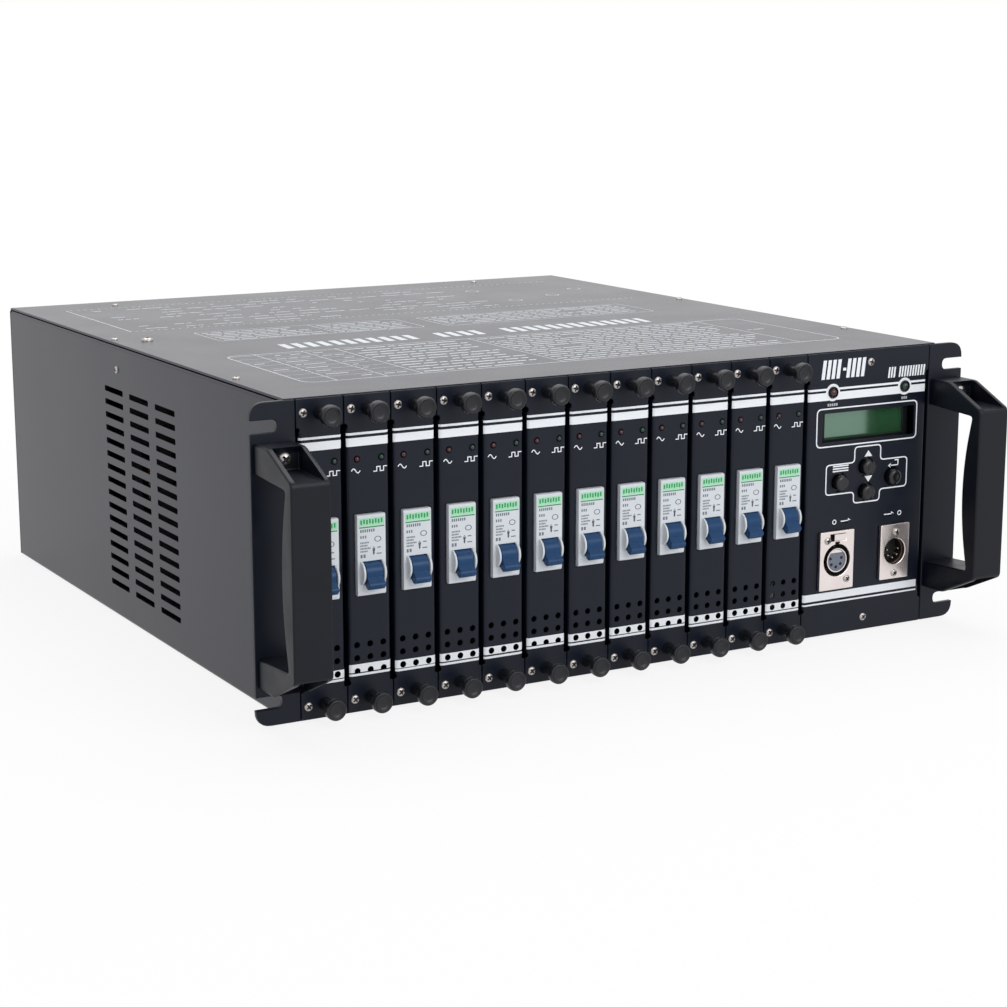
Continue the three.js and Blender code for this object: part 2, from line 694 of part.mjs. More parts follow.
function channelModule() {
  const windowWidth = BREAKER_WIDTH + 2 * WINDOW_CLEAR;
  const windowHeight = NOSE_HEIGHT + 2 * WINDOW_CLEAR;
  const window = rectangle(pitch / 2, middleZ, windowWidth, windowHeight);
  const cuts = alongY([window, ...plateHoles()], -OVERRUN, PANEL_SHEET + OVERRUN);
  const railHalf = RAIL_HEIGHT / 2 - FIT;
  const knobInset = KNOB_RADIUS + KNOB_EDGE;
  return join([
    frontPlate(pitch).subtract(cuts),
    pullKnob(panelBottom + knobInset),
    pullKnob(panelTop - knobInset),
    block(trayLeft, trayRight, PANEL_SHEET / 2, TRAY_DEPTH, trayBottom, trayTop),
    block(trayLeft, breakerRight, notchFront + FIT, notchFront + FIT + RAIL_SHEET,
      middleZ - railHalf, middleZ + railHalf),
    heatSink(),
    choke(),
    rearPlug(),
  ]);
}

// Circuit breaker: a stepped body hooked on its rail, its nose through the plate's window
function breakerOutline() {
  const noseFront = -NOSE_PROUD;
  const noseBack = noseFront + NOSE_DEPTH;
  const slopeBack = noseBack + SHOULDER_SLOPE;
  const side = (up) => [
    [noseFront, up * NOSE_HEIGHT / 2], [noseBack, up * NOSE_HEIGHT / 2],
    [noseBack, up * (NOSE_HEIGHT / 2 + SHOULDER_RISE)], [slopeBack, up * BREAKER_HEIGHT / 2],
    [breakerBack, up * BREAKER_HEIGHT / 2], [breakerBack, up * RAIL_HEIGHT / 2],
    [notchFront, up * RAIL_HEIGHT / 2],
  ];
  const points = [...side(1), ...side(-1).reverse()];
  return outline(points.map(([y, z]) => [y, middleZ + z]));
}

function breaker() {
  const slotHalf = LEVER_WIDTH / 2 + LEVER_CLEAR;
  const cheekRadius = recessRadius + CHEEK_RISE;
  const disc = (radius, x0, x1) => alongX(circle(leverY, leverZ, radius, LEVER_SIDES), x0, x1);
  const centre = pitch / 2;
  return alongX(breakerOutline(), breakerLeft, breakerRight)
    .subtract(disc(recessRadius, centre - slotHalf, centre + slotHalf))
    .add(disc(cheekRadius, centre - slotHalf - CHEEK_THICKNESS, centre - slotHalf))
    .add(disc(cheekRadius, centre + slotHalf, centre + slotHalf + CHEEK_THICKNESS));
}

// Breaker toggle, drawn pointing straight out and turned down to its off position
function toggle() {
  const rootAngle = Math.asin(LEVER_ROOT / 2 / LEVER_BARREL);
  const points = [];
  for (let i = 0; i <= LEVER_SIDES; i += 1) {
    const angle = rootAngle + i * (2 * Math.PI - 2 * rootAngle) / LEVER_SIDES;
    points.push([-LEVER_BARREL * Math.cos(angle), LEVER_BARREL * Math.sin(angle)]);
  }
  points.push([-LEVER_LENGTH, -LEVER_TIP / 2], [-LEVER_LENGTH, LEVER_TIP / 2]);
  return alongX(outline(points), -LEVER_WIDTH / 2, LEVER_WIDTH / 2);
}

const moduleGeometry = geometryFrom(channelModule());
const breakerGeometry = geometryFrom(breaker());
const toggleGeometry = geometryFrom(toggle());
for (let channel = 0; channel < CHANNELS; channel += 1) {
  const label = String(channel + 1).padStart(2, '0');
  const x = bayLeft + channel * pitch;
  place(`module_${label}`, moduleGeometry, plateBlack, [x, 0, 0]);
  place(`breaker_${label}`, breakerGeometry, plasticWhite, [x, 0, 0]);
  place(`breaker_toggle_${label}`, toggleGeometry, plasticBlue, [x + pitch / 2, leverY, leverZ],
    THREE.MathUtils.degToRad(LEVER_ANGLE));
}

// Control panel: a wide front plate cut out for the display, the buttons and the sockets
const buttonHole = BUTTON_RADIUS + 2 * BUTTON_CLEAR;
const buttonRim = buttonHole + BUTTON_RIM;
const buttonRise = buttonRim + BUTTON_RIM_GAP;
const buttonPlaces = {
  up: [buttonX, buttonZ + buttonRise],
  down: [buttonX, buttonZ - buttonRise],
  menu: [buttonX - BUTTON_SPREAD, buttonZ],
  escape: [buttonX + BUTTON_SPREAD, buttonZ],
};

function controlPanel() {
  const cuts = [
    rectangle(displayX, displayZ, displayWidth, DISPLAY_HEIGHT),
    circle(outX, outZ, outBarrel + 2 * SOCKET_HOLE_CLEAR, SOCKET_SIDES),
    circle(inX, inZ, inBarrel + 2 * SOCKET_HOLE_CLEAR, SOCKET_SIDES),
    ...Object.values(buttonPlaces).map(([x, z]) => circle(x, z, buttonHole, BUTTON_SIDES)),
  ];
  return frontPlate(CONTROL_WIDTH).subtract(alongY(cuts, -OVERRUN, PANEL_SHEET + OVERRUN));
}

place('control_panel', geometryFrom(controlPanel()), plateBlack, [controlLeft, 0, 0]);

function posts(places, y1) {
  const y0 = PANEL_SHEET + FIT;
  return places.map(([x, z]) => alongY(circle(x, z, POST_RADIUS, POST_SIDES), y0, y1));
}

function boardCorners(x, z, width, height) {
  const [w, h] = [width / 2 - POST_INSET, height / 2 - POST_INSET];
  return [[x - w, z - h], [x + w, z - h], [x + w, z + h], [x - w, z + h]];
}

// Display: framed glass on its own board, hung behind the window on four posts
function displayModule() {
  const boardWidth = displayWidth + 2 * DISPLAY_BOARD_MARGIN;
  const boardHeight = DISPLAY_HEIGHT + 2 * DISPLAY_BOARD_RISE;
  const frameBack = DISPLAY_RECESS + DISPLAY_FRAME_DEPTH;
  const frame = rectangle(displayX, displayZ, displayWidth, DISPLAY_HEIGHT + 2 * DISPLAY_FRAME);
  const board = rectangle(displayX, displayZ, boardWidth, boardHeight);
  return join([
    alongY(frame, DISPLAY_RECESS, frameBack + WELD),
    alongY(board, frameBack, frameBack + BOARD_SHEET),
    ...posts(boardCorners(displayX, displayZ, boardWidth, boardHeight), frameBack + WELD),
  ]);
}

place('display_module', geometryFrom(displayModule()), displayGreen, [controlLeft, 0, 0]);

// Buttons: a domed cap with a rim behind the plate and a stem that reaches its switch
const rimFront = PANEL_SHEET + FIT;
const stemEnd = CONTROL_BOARD_SETBACK - SWITCH_DEPTH - BUTTON_TRAVEL - FIT;

function button() {
  const rimBack = rimFront + BUTTON_RIM_SHEET;
  return turned([
    ...BUTTON_CROWN_SHARES.map(([out, rise]) => [out * BUTTON_RADIUS, -rise * BUTTON_REACH]),
    [BUTTON_RADIUS, rimFront], [buttonRim, rimFront], [buttonRim, rimBack],
    [BUTTON_STEM, rimBack], [BUTTON_STEM, stemEnd], [0, stemEnd],
  ], 0, 0, BUTTON_SIDES);
}

const buttonGeometry = geometryFrom(button());
for (const [name, [x, z]] of Object.entries(buttonPlaces)) {
  place(`button_${name}`, buttonGeometry, plasticBlack, [controlLeft + x, 0, z]);
}

// Control board, with a switch behind each button and its processor at the back
function controlBoard() {
  const front = CONTROL_BOARD_SETBACK;
  const back = front + BOARD_SHEET;
  const width = 2 * (BUTTON_SPREAD + SWITCH_SIZE / 2 + CONTROL_BOARD_SIDE);
  const height = 2 * (buttonRise + SWITCH_SIZE / 2 + CONTROL_BOARD_RISE);
  const switches = Object.values(buttonPlaces).map(([x, z]) => rectangle(x, z, SWITCH_SIZE, SWITCH_SIZE));
  return join([
    alongY(rectangle(buttonX, buttonZ, width, height), front, back),
    alongY(switches, front - SWITCH_DEPTH, front + WELD),
    alongY(rectangle(buttonX, buttonZ, CHIP_SIZE, CHIP_SIZE), back - WELD, back + CHIP_DEPTH),
    ...posts(boardCorners(buttonX, buttonZ, width, height), front + WELD),
  ]);
}

place('control_board', geometryFrom(controlBoard()), boardGreen, [controlLeft, 0, 0]);

// Data sockets, five contacts each: the output takes a plug's shell round its insert, and the
// input holds its pins in a cup
function contactOutlines(radius) {
  const shapes = [];
  for (let i = 0; i < CONTACT_COUNT; i += 1) {
    const angle = THREE.MathUtils.degToRad((i - (CONTACT_COUNT - 1) / 2) * CONTACT_STEP - 90);
    const [x, z] = [CONTACT_CIRCLE * Math.cos(angle), CONTACT_CIRCLE * Math.sin(angle)];
    shapes.push(circle(x, z, radius, CONTACT_SIDES));
  }
  return shapes;
}

const latchZ = RING_OUTER + KEY_RISE + LATCH_EDGE + LATCH_HEIGHT / 2;

function socketBody(width, height, barrel) {
  return alongY(rectangle(0, 0, width, height), socketPlateFront, socketPlateBack)
    .add(alongY(circle(0, 0, barrel, SOCKET_SIDES), socketPlateBack - WELD, SOCKET_DEPTH));
}

function outSocket() {
  const front = socketPlateFront;
  const ring = alongY(circle(0, 0, RING_OUTER, SOCKET_SIDES), front - OVERRUN, front + RING_DEPTH)
    .subtract(alongY(circle(0, 0, RING_INNER, SOCKET_SIDES), front - 2 * OVERRUN, front + 2 * RING_DEPTH));
  const keyShape = rectangle(0, (RING_OUTER + KEY_RISE + RING_INNER) / 2, KEY_WIDTH,
    RING_OUTER + KEY_RISE - RING_INNER);
  const key = alongY(keyShape, front - OVERRUN, front + SOCKET_PLATE / 2);
  const face = alongY(circle(0, 0, CONTACT_FACE, SOCKET_SIDES), front - OVERRUN, front + CONTACT_FACE_DEPTH);
  const holes = alongY(contactOutlines(CONTACT_RADIUS), front - OVERRUN, front + CONTACT_DEPTH);
  const tab = rectangle(LATCH_SHIFT, latchZ, LATCH_WIDTH + 2 * FIT, LATCH_HEIGHT + 2 * FIT);
  const tabHole = alongY(tab, front - OVERRUN, socketPlateBack + OVERRUN);
  const width = 2 * (RING_OUTER + OUT_RIM);
  const height = 2 * latchZ + LATCH_HEIGHT + 2 * FIT;
  return [ring, key, face, holes, tabHole].reduce((body, cut) => body.subtract(cut),
    socketBody(width, height, outBarrel));
}

function inSocket() {
  const front = socketPlateFront;
  const floor = front + CAVITY_DEPTH;
  return socketBody(2 * (CAVITY_RADIUS + IN_RIM), IN_HEIGHT, inBarrel)
    .subtract(alongY(circle(0, 0, CAVITY_RADIUS, SOCKET_SIDES), front - OVERRUN, floor))
    .add(alongY(contactOutlines(PIN_RADIUS), front + PIN_SETBACK, floor + WELD));
}

function outLatch() {
  const front = socketPlateFront - LATCH_PROUD;
  return alongY(rectangle(LATCH_SHIFT, latchZ, LATCH_WIDTH, LATCH_HEIGHT), front, front + LATCH_SHEET);
}

place('dmx_out_socket', geometryFrom(outSocket()), nickel, [controlLeft + outX, 0, outZ]);
place('dmx_out_latch', geometryFrom(outLatch()), nickel, [controlLeft + outX, 0, outZ]);
place('dmx_in_socket', geometryFrom(inSocket()), nickel, [controlLeft + inX, 0, inZ]);

// Card guides: a grooved deck on legs under the carriers, and the same turned over above them
function guideOutline(up, edge, seat) {
  const left = bayLeft + GUIDE_MARGIN;
  const right = controlLeft - GUIDE_MARGIN;
  const grooveFloor = edge - up * FIT;
  const deckTop = edge + up * GROOVE_DEPTH;
  const deckBottom = grooveFloor - up * GUIDE_WALL;
  const points = [[left, deckBottom], [left, deckTop]];
  for (let channel = 0; channel < CHANNELS; channel += 1) {
    const x0 = bayLeft + channel * pitch + trayLeft - FIT;
    const x1 = bayLeft + channel * pitch + trayRight + FIT;
    points.push([x0, deckTop], [x0, grooveFloor], [x1, grooveFloor], [x1, deckTop]);
  }
  points.push([right, deckTop], [right, deckBottom]);
  for (const share of [...LEG_SHARES].reverse()) {
    const x = left + share * (right - left);
    points.push([x + LEG_WIDTH / 2, deckBottom], [x + LEG_WIDTH / 2, seat]);
    points.push([x - LEG_WIDTH / 2, seat], [x - LEG_WIDTH / 2, deckBottom]);
  }
  return outline(points);
}

const lowGuide = alongY(guideOutline(1, trayBottom, CASE_SHEET + FIT), GUIDE_START, TRAY_DEPTH);
const highGuide = alongY(guideOutline(-1, trayTop, coverBottom - FIT), GUIDE_START, TRAY_DEPTH);
place('card_guide_lower', geometryFrom(lowGuide), plasticBlack);
place('card_guide_upper', geometryFrom(highGuide), plasticBlack);

// Backplane: a board across the case with a socket for each module and windows for air
function backplane() {
  const left = bayLeft + GUIDE_MARGIN;
  const right = controlLeft - GUIDE_MARGIN;
  const bottom = CASE_SHEET + FIT;
  const top = chassisTop - BACKPLANE_HEADROOM;
  const back = backplaneFront + BOARD_SHEET;
  const windows = [];
  const windowLow = BACK_SOCKET_HEIGHT / 2 + AIR_WINDOW_GAP;
  const windowHigh = top - middleZ - AIR_WINDOW_MARGIN;
  const windowShift = (windowLow + windowHigh) / 2;
  for (let i = 0; i < AIR_WINDOWS; i += 1) {
    const x = left + (i + 0.5) * (right - left) / AIR_WINDOWS;
    for (const z of [middleZ - windowShift, middleZ + windowShift]) {
      windows.push(rectangle(x, z, AIR_WINDOW_WIDTH, windowHigh - windowLow));
    }
  }
  const bodies = [];
  const cavities = [];
  for (let channel = 0; channel < CHANNELS; channel += 1) {
    const x = bayLeft + (channel + 0.5) * pitch;
    bodies.push(rectangle(x, middleZ, BACK_SOCKET_WIDTH, BACK_SOCKET_HEIGHT));
    cavities.push(rectangle(x, middleZ, TONGUE_WIDTH + 2 * FIT, TONGUE_HEIGHT + 2 * FIT));
  }
  const cavityBack = TRAY_DEPTH + TONGUE_REACH + FIT;
  return block(left, right, backplaneFront, back, bottom, top)
    .subtract(alongY(windows, backplaneFront - OVERRUN, back + OVERRUN))
    .add(alongY(bodies, backSocketFront, backplaneFront + WELD))
    .subtract(alongY(cavities, backSocketFront - OVERRUN, cavityBack));
}

place('backplane', geometryFrom(backplane()), boardGreen);

// Fan: square housing with a motor seat on struts, and a bladed rotor that turns about Y
const fanFront = chassisBack - FAN_DEPTH;
const motorBack = fanFront + FAN_STRUT_DEPTH;

function fanHousing() {
  const reach = fanBore + WELD;
  return join([
    alongY(octagonal(0, 0, FAN_SIZE, FAN_SIZE, FAN_CORNER), fanFront, chassisBack)
      .subtract(alongY(circle(0, 0, fanBore, FAN_BORE_SIDES), fanFront - OVERRUN, chassisBack + OVERRUN)),
    block(-reach, reach, fanFront, motorBack, -FAN_STRUT / 2, FAN_STRUT / 2),
    block(-FAN_STRUT / 2, FAN_STRUT / 2, fanFront, motorBack, -reach, reach),
    alongY(circle(0, 0, MOTOR_RADIUS, HUB_SIDES), fanFront, motorBack),
  ]);
}

function fanRotor() {
  const front = motorBack + FIT;
  const back = chassisBack - ROTOR_CLEAR;
  const hub = turned([[0, front], [ROTOR_HUB, front], [ROTOR_HUB, back - ROTOR_DOME],
    [ROTOR_HUB - ROTOR_DOME, back], [0, back]], 0, 0, HUB_SIDES);
  const root = ROTOR_HUB - OVERRUN;
  const tip = fanBore - BLADE_CLEAR;
  const parts = [hub];
  for (let i = 0; i < BLADES; i += 1) {
    const blade = new THREE.BoxGeometry(tip - root, BLADE_SHEET, BLADE_CHORD);
    blade.rotateX(THREE.MathUtils.degToRad(BLADE_ANGLE));
    blade.translate((tip + root) / 2, (front + back) / 2, 0);
    blade.rotateY(i * 2 * Math.PI / BLADES);
    parts.push(solidFrom(blade));
  }
  return join(parts);
}

place('fan_housing', geometryFrom(fanHousing()), plasticBlack, [fanX, 0, middleZ]);
place('fan_rotor', geometryFrom(fanRotor()), plasticBlack, [fanX, 0, middleZ]);

// Output connector: a hooded multipole outlet with contact holes and two locking pegs
function outputSocket() {
  const outletSeat = CASE_DEPTH + FIT;
  const hoodBack = outletSeat + OUTLET_REACH;
  const innerWidth = OUTLET_WIDTH - 2 * OUTLET_WALL;
  const innerHeight = OUTLET_HEIGHT - 2 * OUTLET_WALL;
  const insertWidth = innerWidth - 2 * OUTLET_INSERT_GAP;
  const insertHeight = innerHeight - 2 * OUTLET_INSERT_GAP;
  const cavityFloor = hoodBack - OUTLET_CAVITY;
  const insertBack = hoodBack - OUTLET_INSERT_SETBACK;
  const poles = [];
  for (let i = 0; i < OUTLET_POLES; i += 1) {
    const x = (i + 0.5) * insertWidth / OUTLET_POLES - insertWidth / 2;
    for (let row = 0; row < OUTLET_ROWS; row += 1) {
      const z = (row + 0.5) * insertHeight / OUTLET_ROWS - insertHeight / 2;
      poles.push(rectangle(x, z, OUTLET_POLE_SIZE, OUTLET_POLE_SIZE));
    }
  }
  const pegY = (outletSeat + OUTLET_FLANGE_SHEET + hoodBack) / 2;
  const pegReach = OUTLET_WIDTH / 2 + PEG_LENGTH;
  const pegs = alongX(circle(pegY, 0, PEG_RADIUS, POST_SIDES), -pegReach, pegReach);
  const shell = join([
    alongY(rectangle(0, 0, OUTLET_WIDTH, OUTLET_HEIGHT), rearInside - OUTLET_INNER, hoodBack),
    alongY(rectangle(0, 0, OUTLET_WIDTH + 2 * OUTLET_FLANGE, OUTLET_HEIGHT + OUTLET_FLANGE),
      outletSeat, outletSeat + OUTLET_FLANGE_SHEET),
    pegs,
  ]);
  return shell
    .subtract(alongY(rectangle(0, 0, innerWidth, innerHeight), cavityFloor, hoodBack + OVERRUN))
    .add(alongY(rectangle(0, 0, insertWidth, insertHeight), cavityFloor - WELD, insertBack))
    .subtract(alongY(poles, insertBack - OUTLET_POLE_DEPTH, insertBack + OVERRUN));
}

place('output_socket', geometryFrom(outputSocket()), zinc, [OUTLET_X, 0, middleZ]);

// Mains cable gland, open through its middle, clamped on the rear panel by its inner nut
function mainsGland() {
  const nutBack = rearInside - FIT;
  const flange = CASE_DEPTH + FIT;
  const end = flange + GLAND_REACH;
  return turned([
    [GLAND_BORE, nutBack - GLAND_TAIL], [GLAND_SLEEVE, nutBack - GLAND_TAIL],
    [GLAND_SLEEVE, nutBack - GLAND_NUT_DEPTH], [GLAND_NUT, nutBack - GLAND_NUT_DEPTH],
    [GLAND_NUT, nutBack], [GLAND_SLEEVE, nutBack], [GLAND_SLEEVE, flange], [GLAND_NUT, flange],
    [GLAND_NUT, flange + GLAND_NUT_DEPTH], [GLAND_DOME, flange + GLAND_NUT_DEPTH],
    [GLAND_DOME_END, end], [GLAND_BORE, end], [GLAND_BORE, nutBack - GLAND_TAIL],
  ], 0, 0, GLAND_SIDES);
}

place('mains_gland', geometryFrom(mainsGland()), plasticBlack, [GLAND_X, 0, GLAND_Z]);

// The middle of the case's underside is the origin
const dimmerPack = new THREE.Group();
layout.position.y = -CASE_DEPTH / 2;
dimmerPack.add(layout);

export default dimmerPack;
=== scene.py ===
"""Looks of a twelve-channel rack dimmer pack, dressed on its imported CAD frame."""
import math
import random

import bmesh
import bpy
from mathutils import Matrix, Vector


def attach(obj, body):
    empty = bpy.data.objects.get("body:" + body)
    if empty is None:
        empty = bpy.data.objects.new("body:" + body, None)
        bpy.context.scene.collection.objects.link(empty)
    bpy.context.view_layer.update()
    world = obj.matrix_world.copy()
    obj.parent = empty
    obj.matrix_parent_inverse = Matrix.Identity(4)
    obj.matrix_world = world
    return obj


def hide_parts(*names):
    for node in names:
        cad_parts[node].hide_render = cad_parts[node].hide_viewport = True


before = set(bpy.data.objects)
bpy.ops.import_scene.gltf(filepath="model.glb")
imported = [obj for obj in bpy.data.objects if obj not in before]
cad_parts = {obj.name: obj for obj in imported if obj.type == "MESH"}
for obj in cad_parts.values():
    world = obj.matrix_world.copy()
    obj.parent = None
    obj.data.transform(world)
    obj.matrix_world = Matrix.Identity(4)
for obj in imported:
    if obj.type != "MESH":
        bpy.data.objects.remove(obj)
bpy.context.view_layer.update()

# Lengths are in millimetres, drawn with X across, Y back from the front plates and Z up
MM = 0.001
CASE_DEPTH = 465.0
CASE_HEIGHT = 177.0
QUARTER = math.pi / 2
BOTH = (-1, 1)
SHARP_ANGLE = math.radians(38)

# Sheets, clearances and edges
SHEET = 1.5
GAP = 0.3
EDGE = 0.25
INNER_BEND = 0.6
BEND = SHEET + INNER_BEND
BEND_RADIUS = INNER_BEND + SHEET / 2
BEND_ARC = QUARTER * BEND_RADIUS
BEND_STEPS = 4
HAIR_EDGE = 0.1
SOFT_EDGE = 0.2
BROAD_EDGE = 0.3

# Printing is a thin raised layer
INK = 0.05

# Points nearer than this are one, and a cut this near a point goes through it
WELD = 0.0005
TOUCH = 0.0001

# Front plates
PITCH = 28.0
CHANNELS = 12
BAY_LEFT = -215.0
CONTROL_WIDTH = 94.0
CONTROL_LEFT = BAY_LEFT + CHANNELS * PITCH
PLATE_BOTTOM = 0.5
PLATE_TOP = CASE_HEIGHT - PLATE_BOTTOM
MIDDLE_Z = CASE_HEIGHT / 2
TAB_HEIGHT = 15.5
RELIEF_HEIGHT = 3.0
FOLD_INSET = 1.3
FOLD_DEPTH = 12.0
FOLD_BOTTOM = PLATE_BOTTOM + TAB_HEIGHT + RELIEF_HEIGHT
FOLD_TOP = PLATE_TOP - TAB_HEIGHT - RELIEF_HEIGHT

# Case
CASE_HALF = 222.0
CHASSIS_TOP = 175.2
CHASSIS_FRONT = 3.3
CHASSIS_BACK = 463.2
COVER_FRONT = 2.2
COVER_HALF = 221.0


# Flat outlines
def arc(a, b, radius, start, sweep, steps):
    """Points along an arc, with both its ends"""
    angles = [start + sweep * i / steps for i in range(steps + 1)]
    return [(a + radius * math.cos(t), b + radius * math.sin(t)) for t in angles]


def circle(a, b, radius, sides=24):
    return arc(a, b, radius, 0, 2 * math.pi, sides)[:-1]


def circles(places, radius, sides=20):
    return [circle(*place, radius, sides) for place in places]


def rectangle(a, b, width, height):
    w, h = width / 2, height / 2
    return [(a - w, b - h), (a + w, b - h), (a + w, b + h), (a - w, b + h)]


def span(a0, a1, b0, b1):
    return rectangle((a0 + a1) / 2, (b0 + b1) / 2, a1 - a0, b1 - b0)


def bar_row(x, z, count, step, width, height, slant=0.0, skipped=()):
    """Leaning bars in a row, where the object has lettering"""
    bars = []
    lean = slant * height
    for i in range(count):
        if i in skipped:
            continue
        left = x + i * step
        right = left + width
        bars.append([(left, z), (right, z), (right + lean, z + height), (left + lean, z + height)])
    return bars


def rounded(loop, radii, steps=3):
    """The loop with each corner turned into a curve that starts a radius before it"""
    if not isinstance(radii, (list, tuple)):
        radii = [radii] * len(loop)
    points = []
    for i, here in enumerate(loop):
        here = Vector(here)
        if radii[i] <= 0:
            points.append(tuple(here))
            continue
        neighbours = (i - 1, (i + 1) % len(loop))
        edges = [Vector(loop[k]) - here for k in neighbours]
        shares = [edge.length / (radii[i] + radii[k]) for edge, k in zip(edges, neighbours)]
        reach = radii[i] * min(1.0, *shares)
        start, end = [here + edge.normalized() * reach for edge in edges]
        for k in range(steps + 1):
            t = k / steps
            point = start * (1 - t) ** 2 + here * 2 * t * (1 - t) + end * t ** 2
            points.append(tuple(point))
    return points


def stroke(path, width):
    """An outline that follows an open path at a width"""
    sides = ([], [])
    for i, here in enumerate(path):
        here = Vector(here)
        before = Vector(path[max(i - 1, 0)])
        after = Vector(path[min(i + 1, len(path) - 1)])
        into = (here - before).normalized() if i else (after - here).normalized()
        out = (after - here).normalized() if i < len(path) - 1 else into
        along = (into + out).normalized()
        across = Vector((-along.y, along.x)) * (width / 2 / max(0.5, along.dot(out)))
        sides[0].append(tuple(here + across))
        sides[1].append(tuple(here - across))
    return sides[0] + sides[1][::-1]


def is_counter(loop):
    total = 0.0
    for i, (a, b) in enumerate(loop):
        c, d = loop[(i + 1) % len(loop)]
        total += a * d - b * c
    return total > 0


# A form is a list of points and a list of faces, both in millimetres
def form_of(mesh):
    points = [tuple(v.co) for v in mesh.verts]
    mesh.verts.ensure_lookup_table()
    mesh.verts.index_update()
    faces = [tuple(v.index for v in face.verts) for face in mesh.faces]
    mesh.free()
    return points, faces


def mesh_of(form):
    mesh = bmesh.new()
    points = [mesh.verts.new(p) for p in form[0]]
    for face in form[1]:
        mesh.faces.new([points[i] for i in face])
    return mesh


def moved(form, x=0.0, y=0.0, z=0.0):
    return [(px + x, py + y, pz + z) for px, py, pz in form[0]], form[1]


def turned(form, axis, degrees):
    spin = Matrix.Rotation(math.radians(degrees), 3, axis)
    return [tuple(spin @ Vector(p)) for p in form[0]], form[1]


def joined(forms):
    points, faces = [], []
    for form_points, form_faces in forms:
        base = len(points)
        points.extend(form_points)
        faces.extend(tuple(i + base for i in face) for face in form_faces)
    return points, faces


def repeated(form, places):
    """Copies of a form, moved across and up"""
    return joined([moved(form, x, 0, z) for x, z in places])


AXES = {"x": (2, 0, 1), "y": (0, 2, 1), "z": (0, 1, 2)}


def prism(outers, holes, low, high, axis="y", edge=0.0, steps=1):
    """Outlines drawn across an axis and pulled along it from low to high"""
    curve = bpy.data.curves.new("outline", "CURVE")
    curve.dimensions = "2D"
    curve.fill_mode = "BOTH"
    curve.extrude = (high - low) / 2 - edge
    curve.bevel_depth = edge
    curve.bevel_resolution = steps - 1
    curve.offset = -edge
    for loops, counter in ((outers, True), (holes, False)):
        for loop in loops:
            ordered = loop if is_counter(loop) == counter else loop[::-1]
            spline = curve.splines.new("POLY")
            spline.points.add(len(ordered) - 1)
            for point, (a, b) in zip(spline.points, ordered):
                point.co = (a, b, 0, 1)
            spline.use_cyclic_u = True
    holder = bpy.data.objects.new("outline", curve)
    flat = bpy.data.meshes.new_from_object(holder)
    mesh = bmesh.new()
    mesh.from_mesh(flat)
    bpy.data.objects.remove(holder)
    bpy.data.curves.remove(curve)
    bpy.data.meshes.remove(flat)
    bmesh.ops.remove_doubles(mesh, verts=mesh.verts, dist=WELD)
    bmesh.ops.recalc_face_normals(mesh, faces=mesh.faces)
    points, faces = form_of(mesh)
    middle = (low + high) / 2
    first, second, third = AXES[axis]
    lifted = [(a, b, c + middle) for a, b, c in points]
    return [(p[first], p[second], p[third]) for p in lifted], faces


def block(x0, x1, y0, y1, z0, z1, edge=0.0):
    return prism([span(x0, x1, z0, z1)], [], y0, y1, "y", edge)


def lathe(profile, axis="y", sides=24):
    """A profile of (radius, place along the axis) points turned about the axis"""
    points, rings = [], []
    for radius, place in profile:
        if radius <= 0:
            rings.append([len(points)])
            points.append((0.0, 0.0, place))
            continue
        rings.append(list(range(len(points), len(points) + sides)))
        points.extend((a, b, place) for a, b in circle(0, 0, radius, sides))
    faces = []
    pairs = list(zip(rings, rings[1:]))
    if profile[0][0] > 0 and profile[-1][0] > 0:
        pairs.append((rings[-1], rings[0]))
    for ring, after in pairs:
        for i in range(sides):
            k = (i + 1) % sides
            corners = [ring[i % len(ring)], ring[k % len(ring)],
                       after[k % len(after)], after[i % len(after)]]
            faces.append(tuple(dict.fromkeys(corners)))
    first, second, third = AXES[axis]
    return [(p[first], p[second], p[third]) for p in points], faces


def tube(path, radius, sides):
    """A round wire along a closed path of points"""
    points, faces = [], []
    count = len(path)
    up = Vector((0.13, 0.27, 0.95))
    for i in range(count):
        here = Vector(path[i])
        along = (Vector(path[(i + 1) % count]) - Vector(path[i - 1])).normalized()
        side = along.cross(up).normalized()
        rise = side.cross(along)
        points.extend(tuple(here + side * a + rise * b) for a, b in circle(0, 0, radius, sides))
        k = (i + 1) % count
        for j in range(sides):
            n = (j + 1) % sides
            faces.append((i * sides + j, i * sides + n, k * sides + n, k * sides + j))
    return points, faces


def cut(form, tool):
    """The form with the tool's form taken away"""
    holders = []
    for shape in (form, tool):
        mesh = mesh_of(shape)
        bmesh.ops.recalc_face_normals(mesh, faces=mesh.faces)
        data = bpy.data.meshes.new("cutting")
        mesh.to_mesh(data)
        mesh.free()
        holder = bpy.data.objects.new("cutting", data)
        bpy.context.scene.collection.objects.link(holder)
        holders.append(holder)
    modifier = holders[0].modifiers.new("cut", "BOOLEAN")
    modifier.operation = "DIFFERENCE"
    modifier.solver = "EXACT"
    modifier.object = holders[1]
    shown = holders[0].evaluated_get(bpy.context.evaluated_depsgraph_get())
    result = bmesh.new()
    result.from_mesh(shown.data)
    for holder in holders:
        data = holder.data
        bpy.data.objects.remove(holder)
        bpy.data.meshes.remove(data)
    return form_of(result)


def ahead(heading):
    return Vector((math.cos(heading), math.sin(heading)))


def across(heading):
    return Vector((-math.sin(heading), math.cos(heading)))


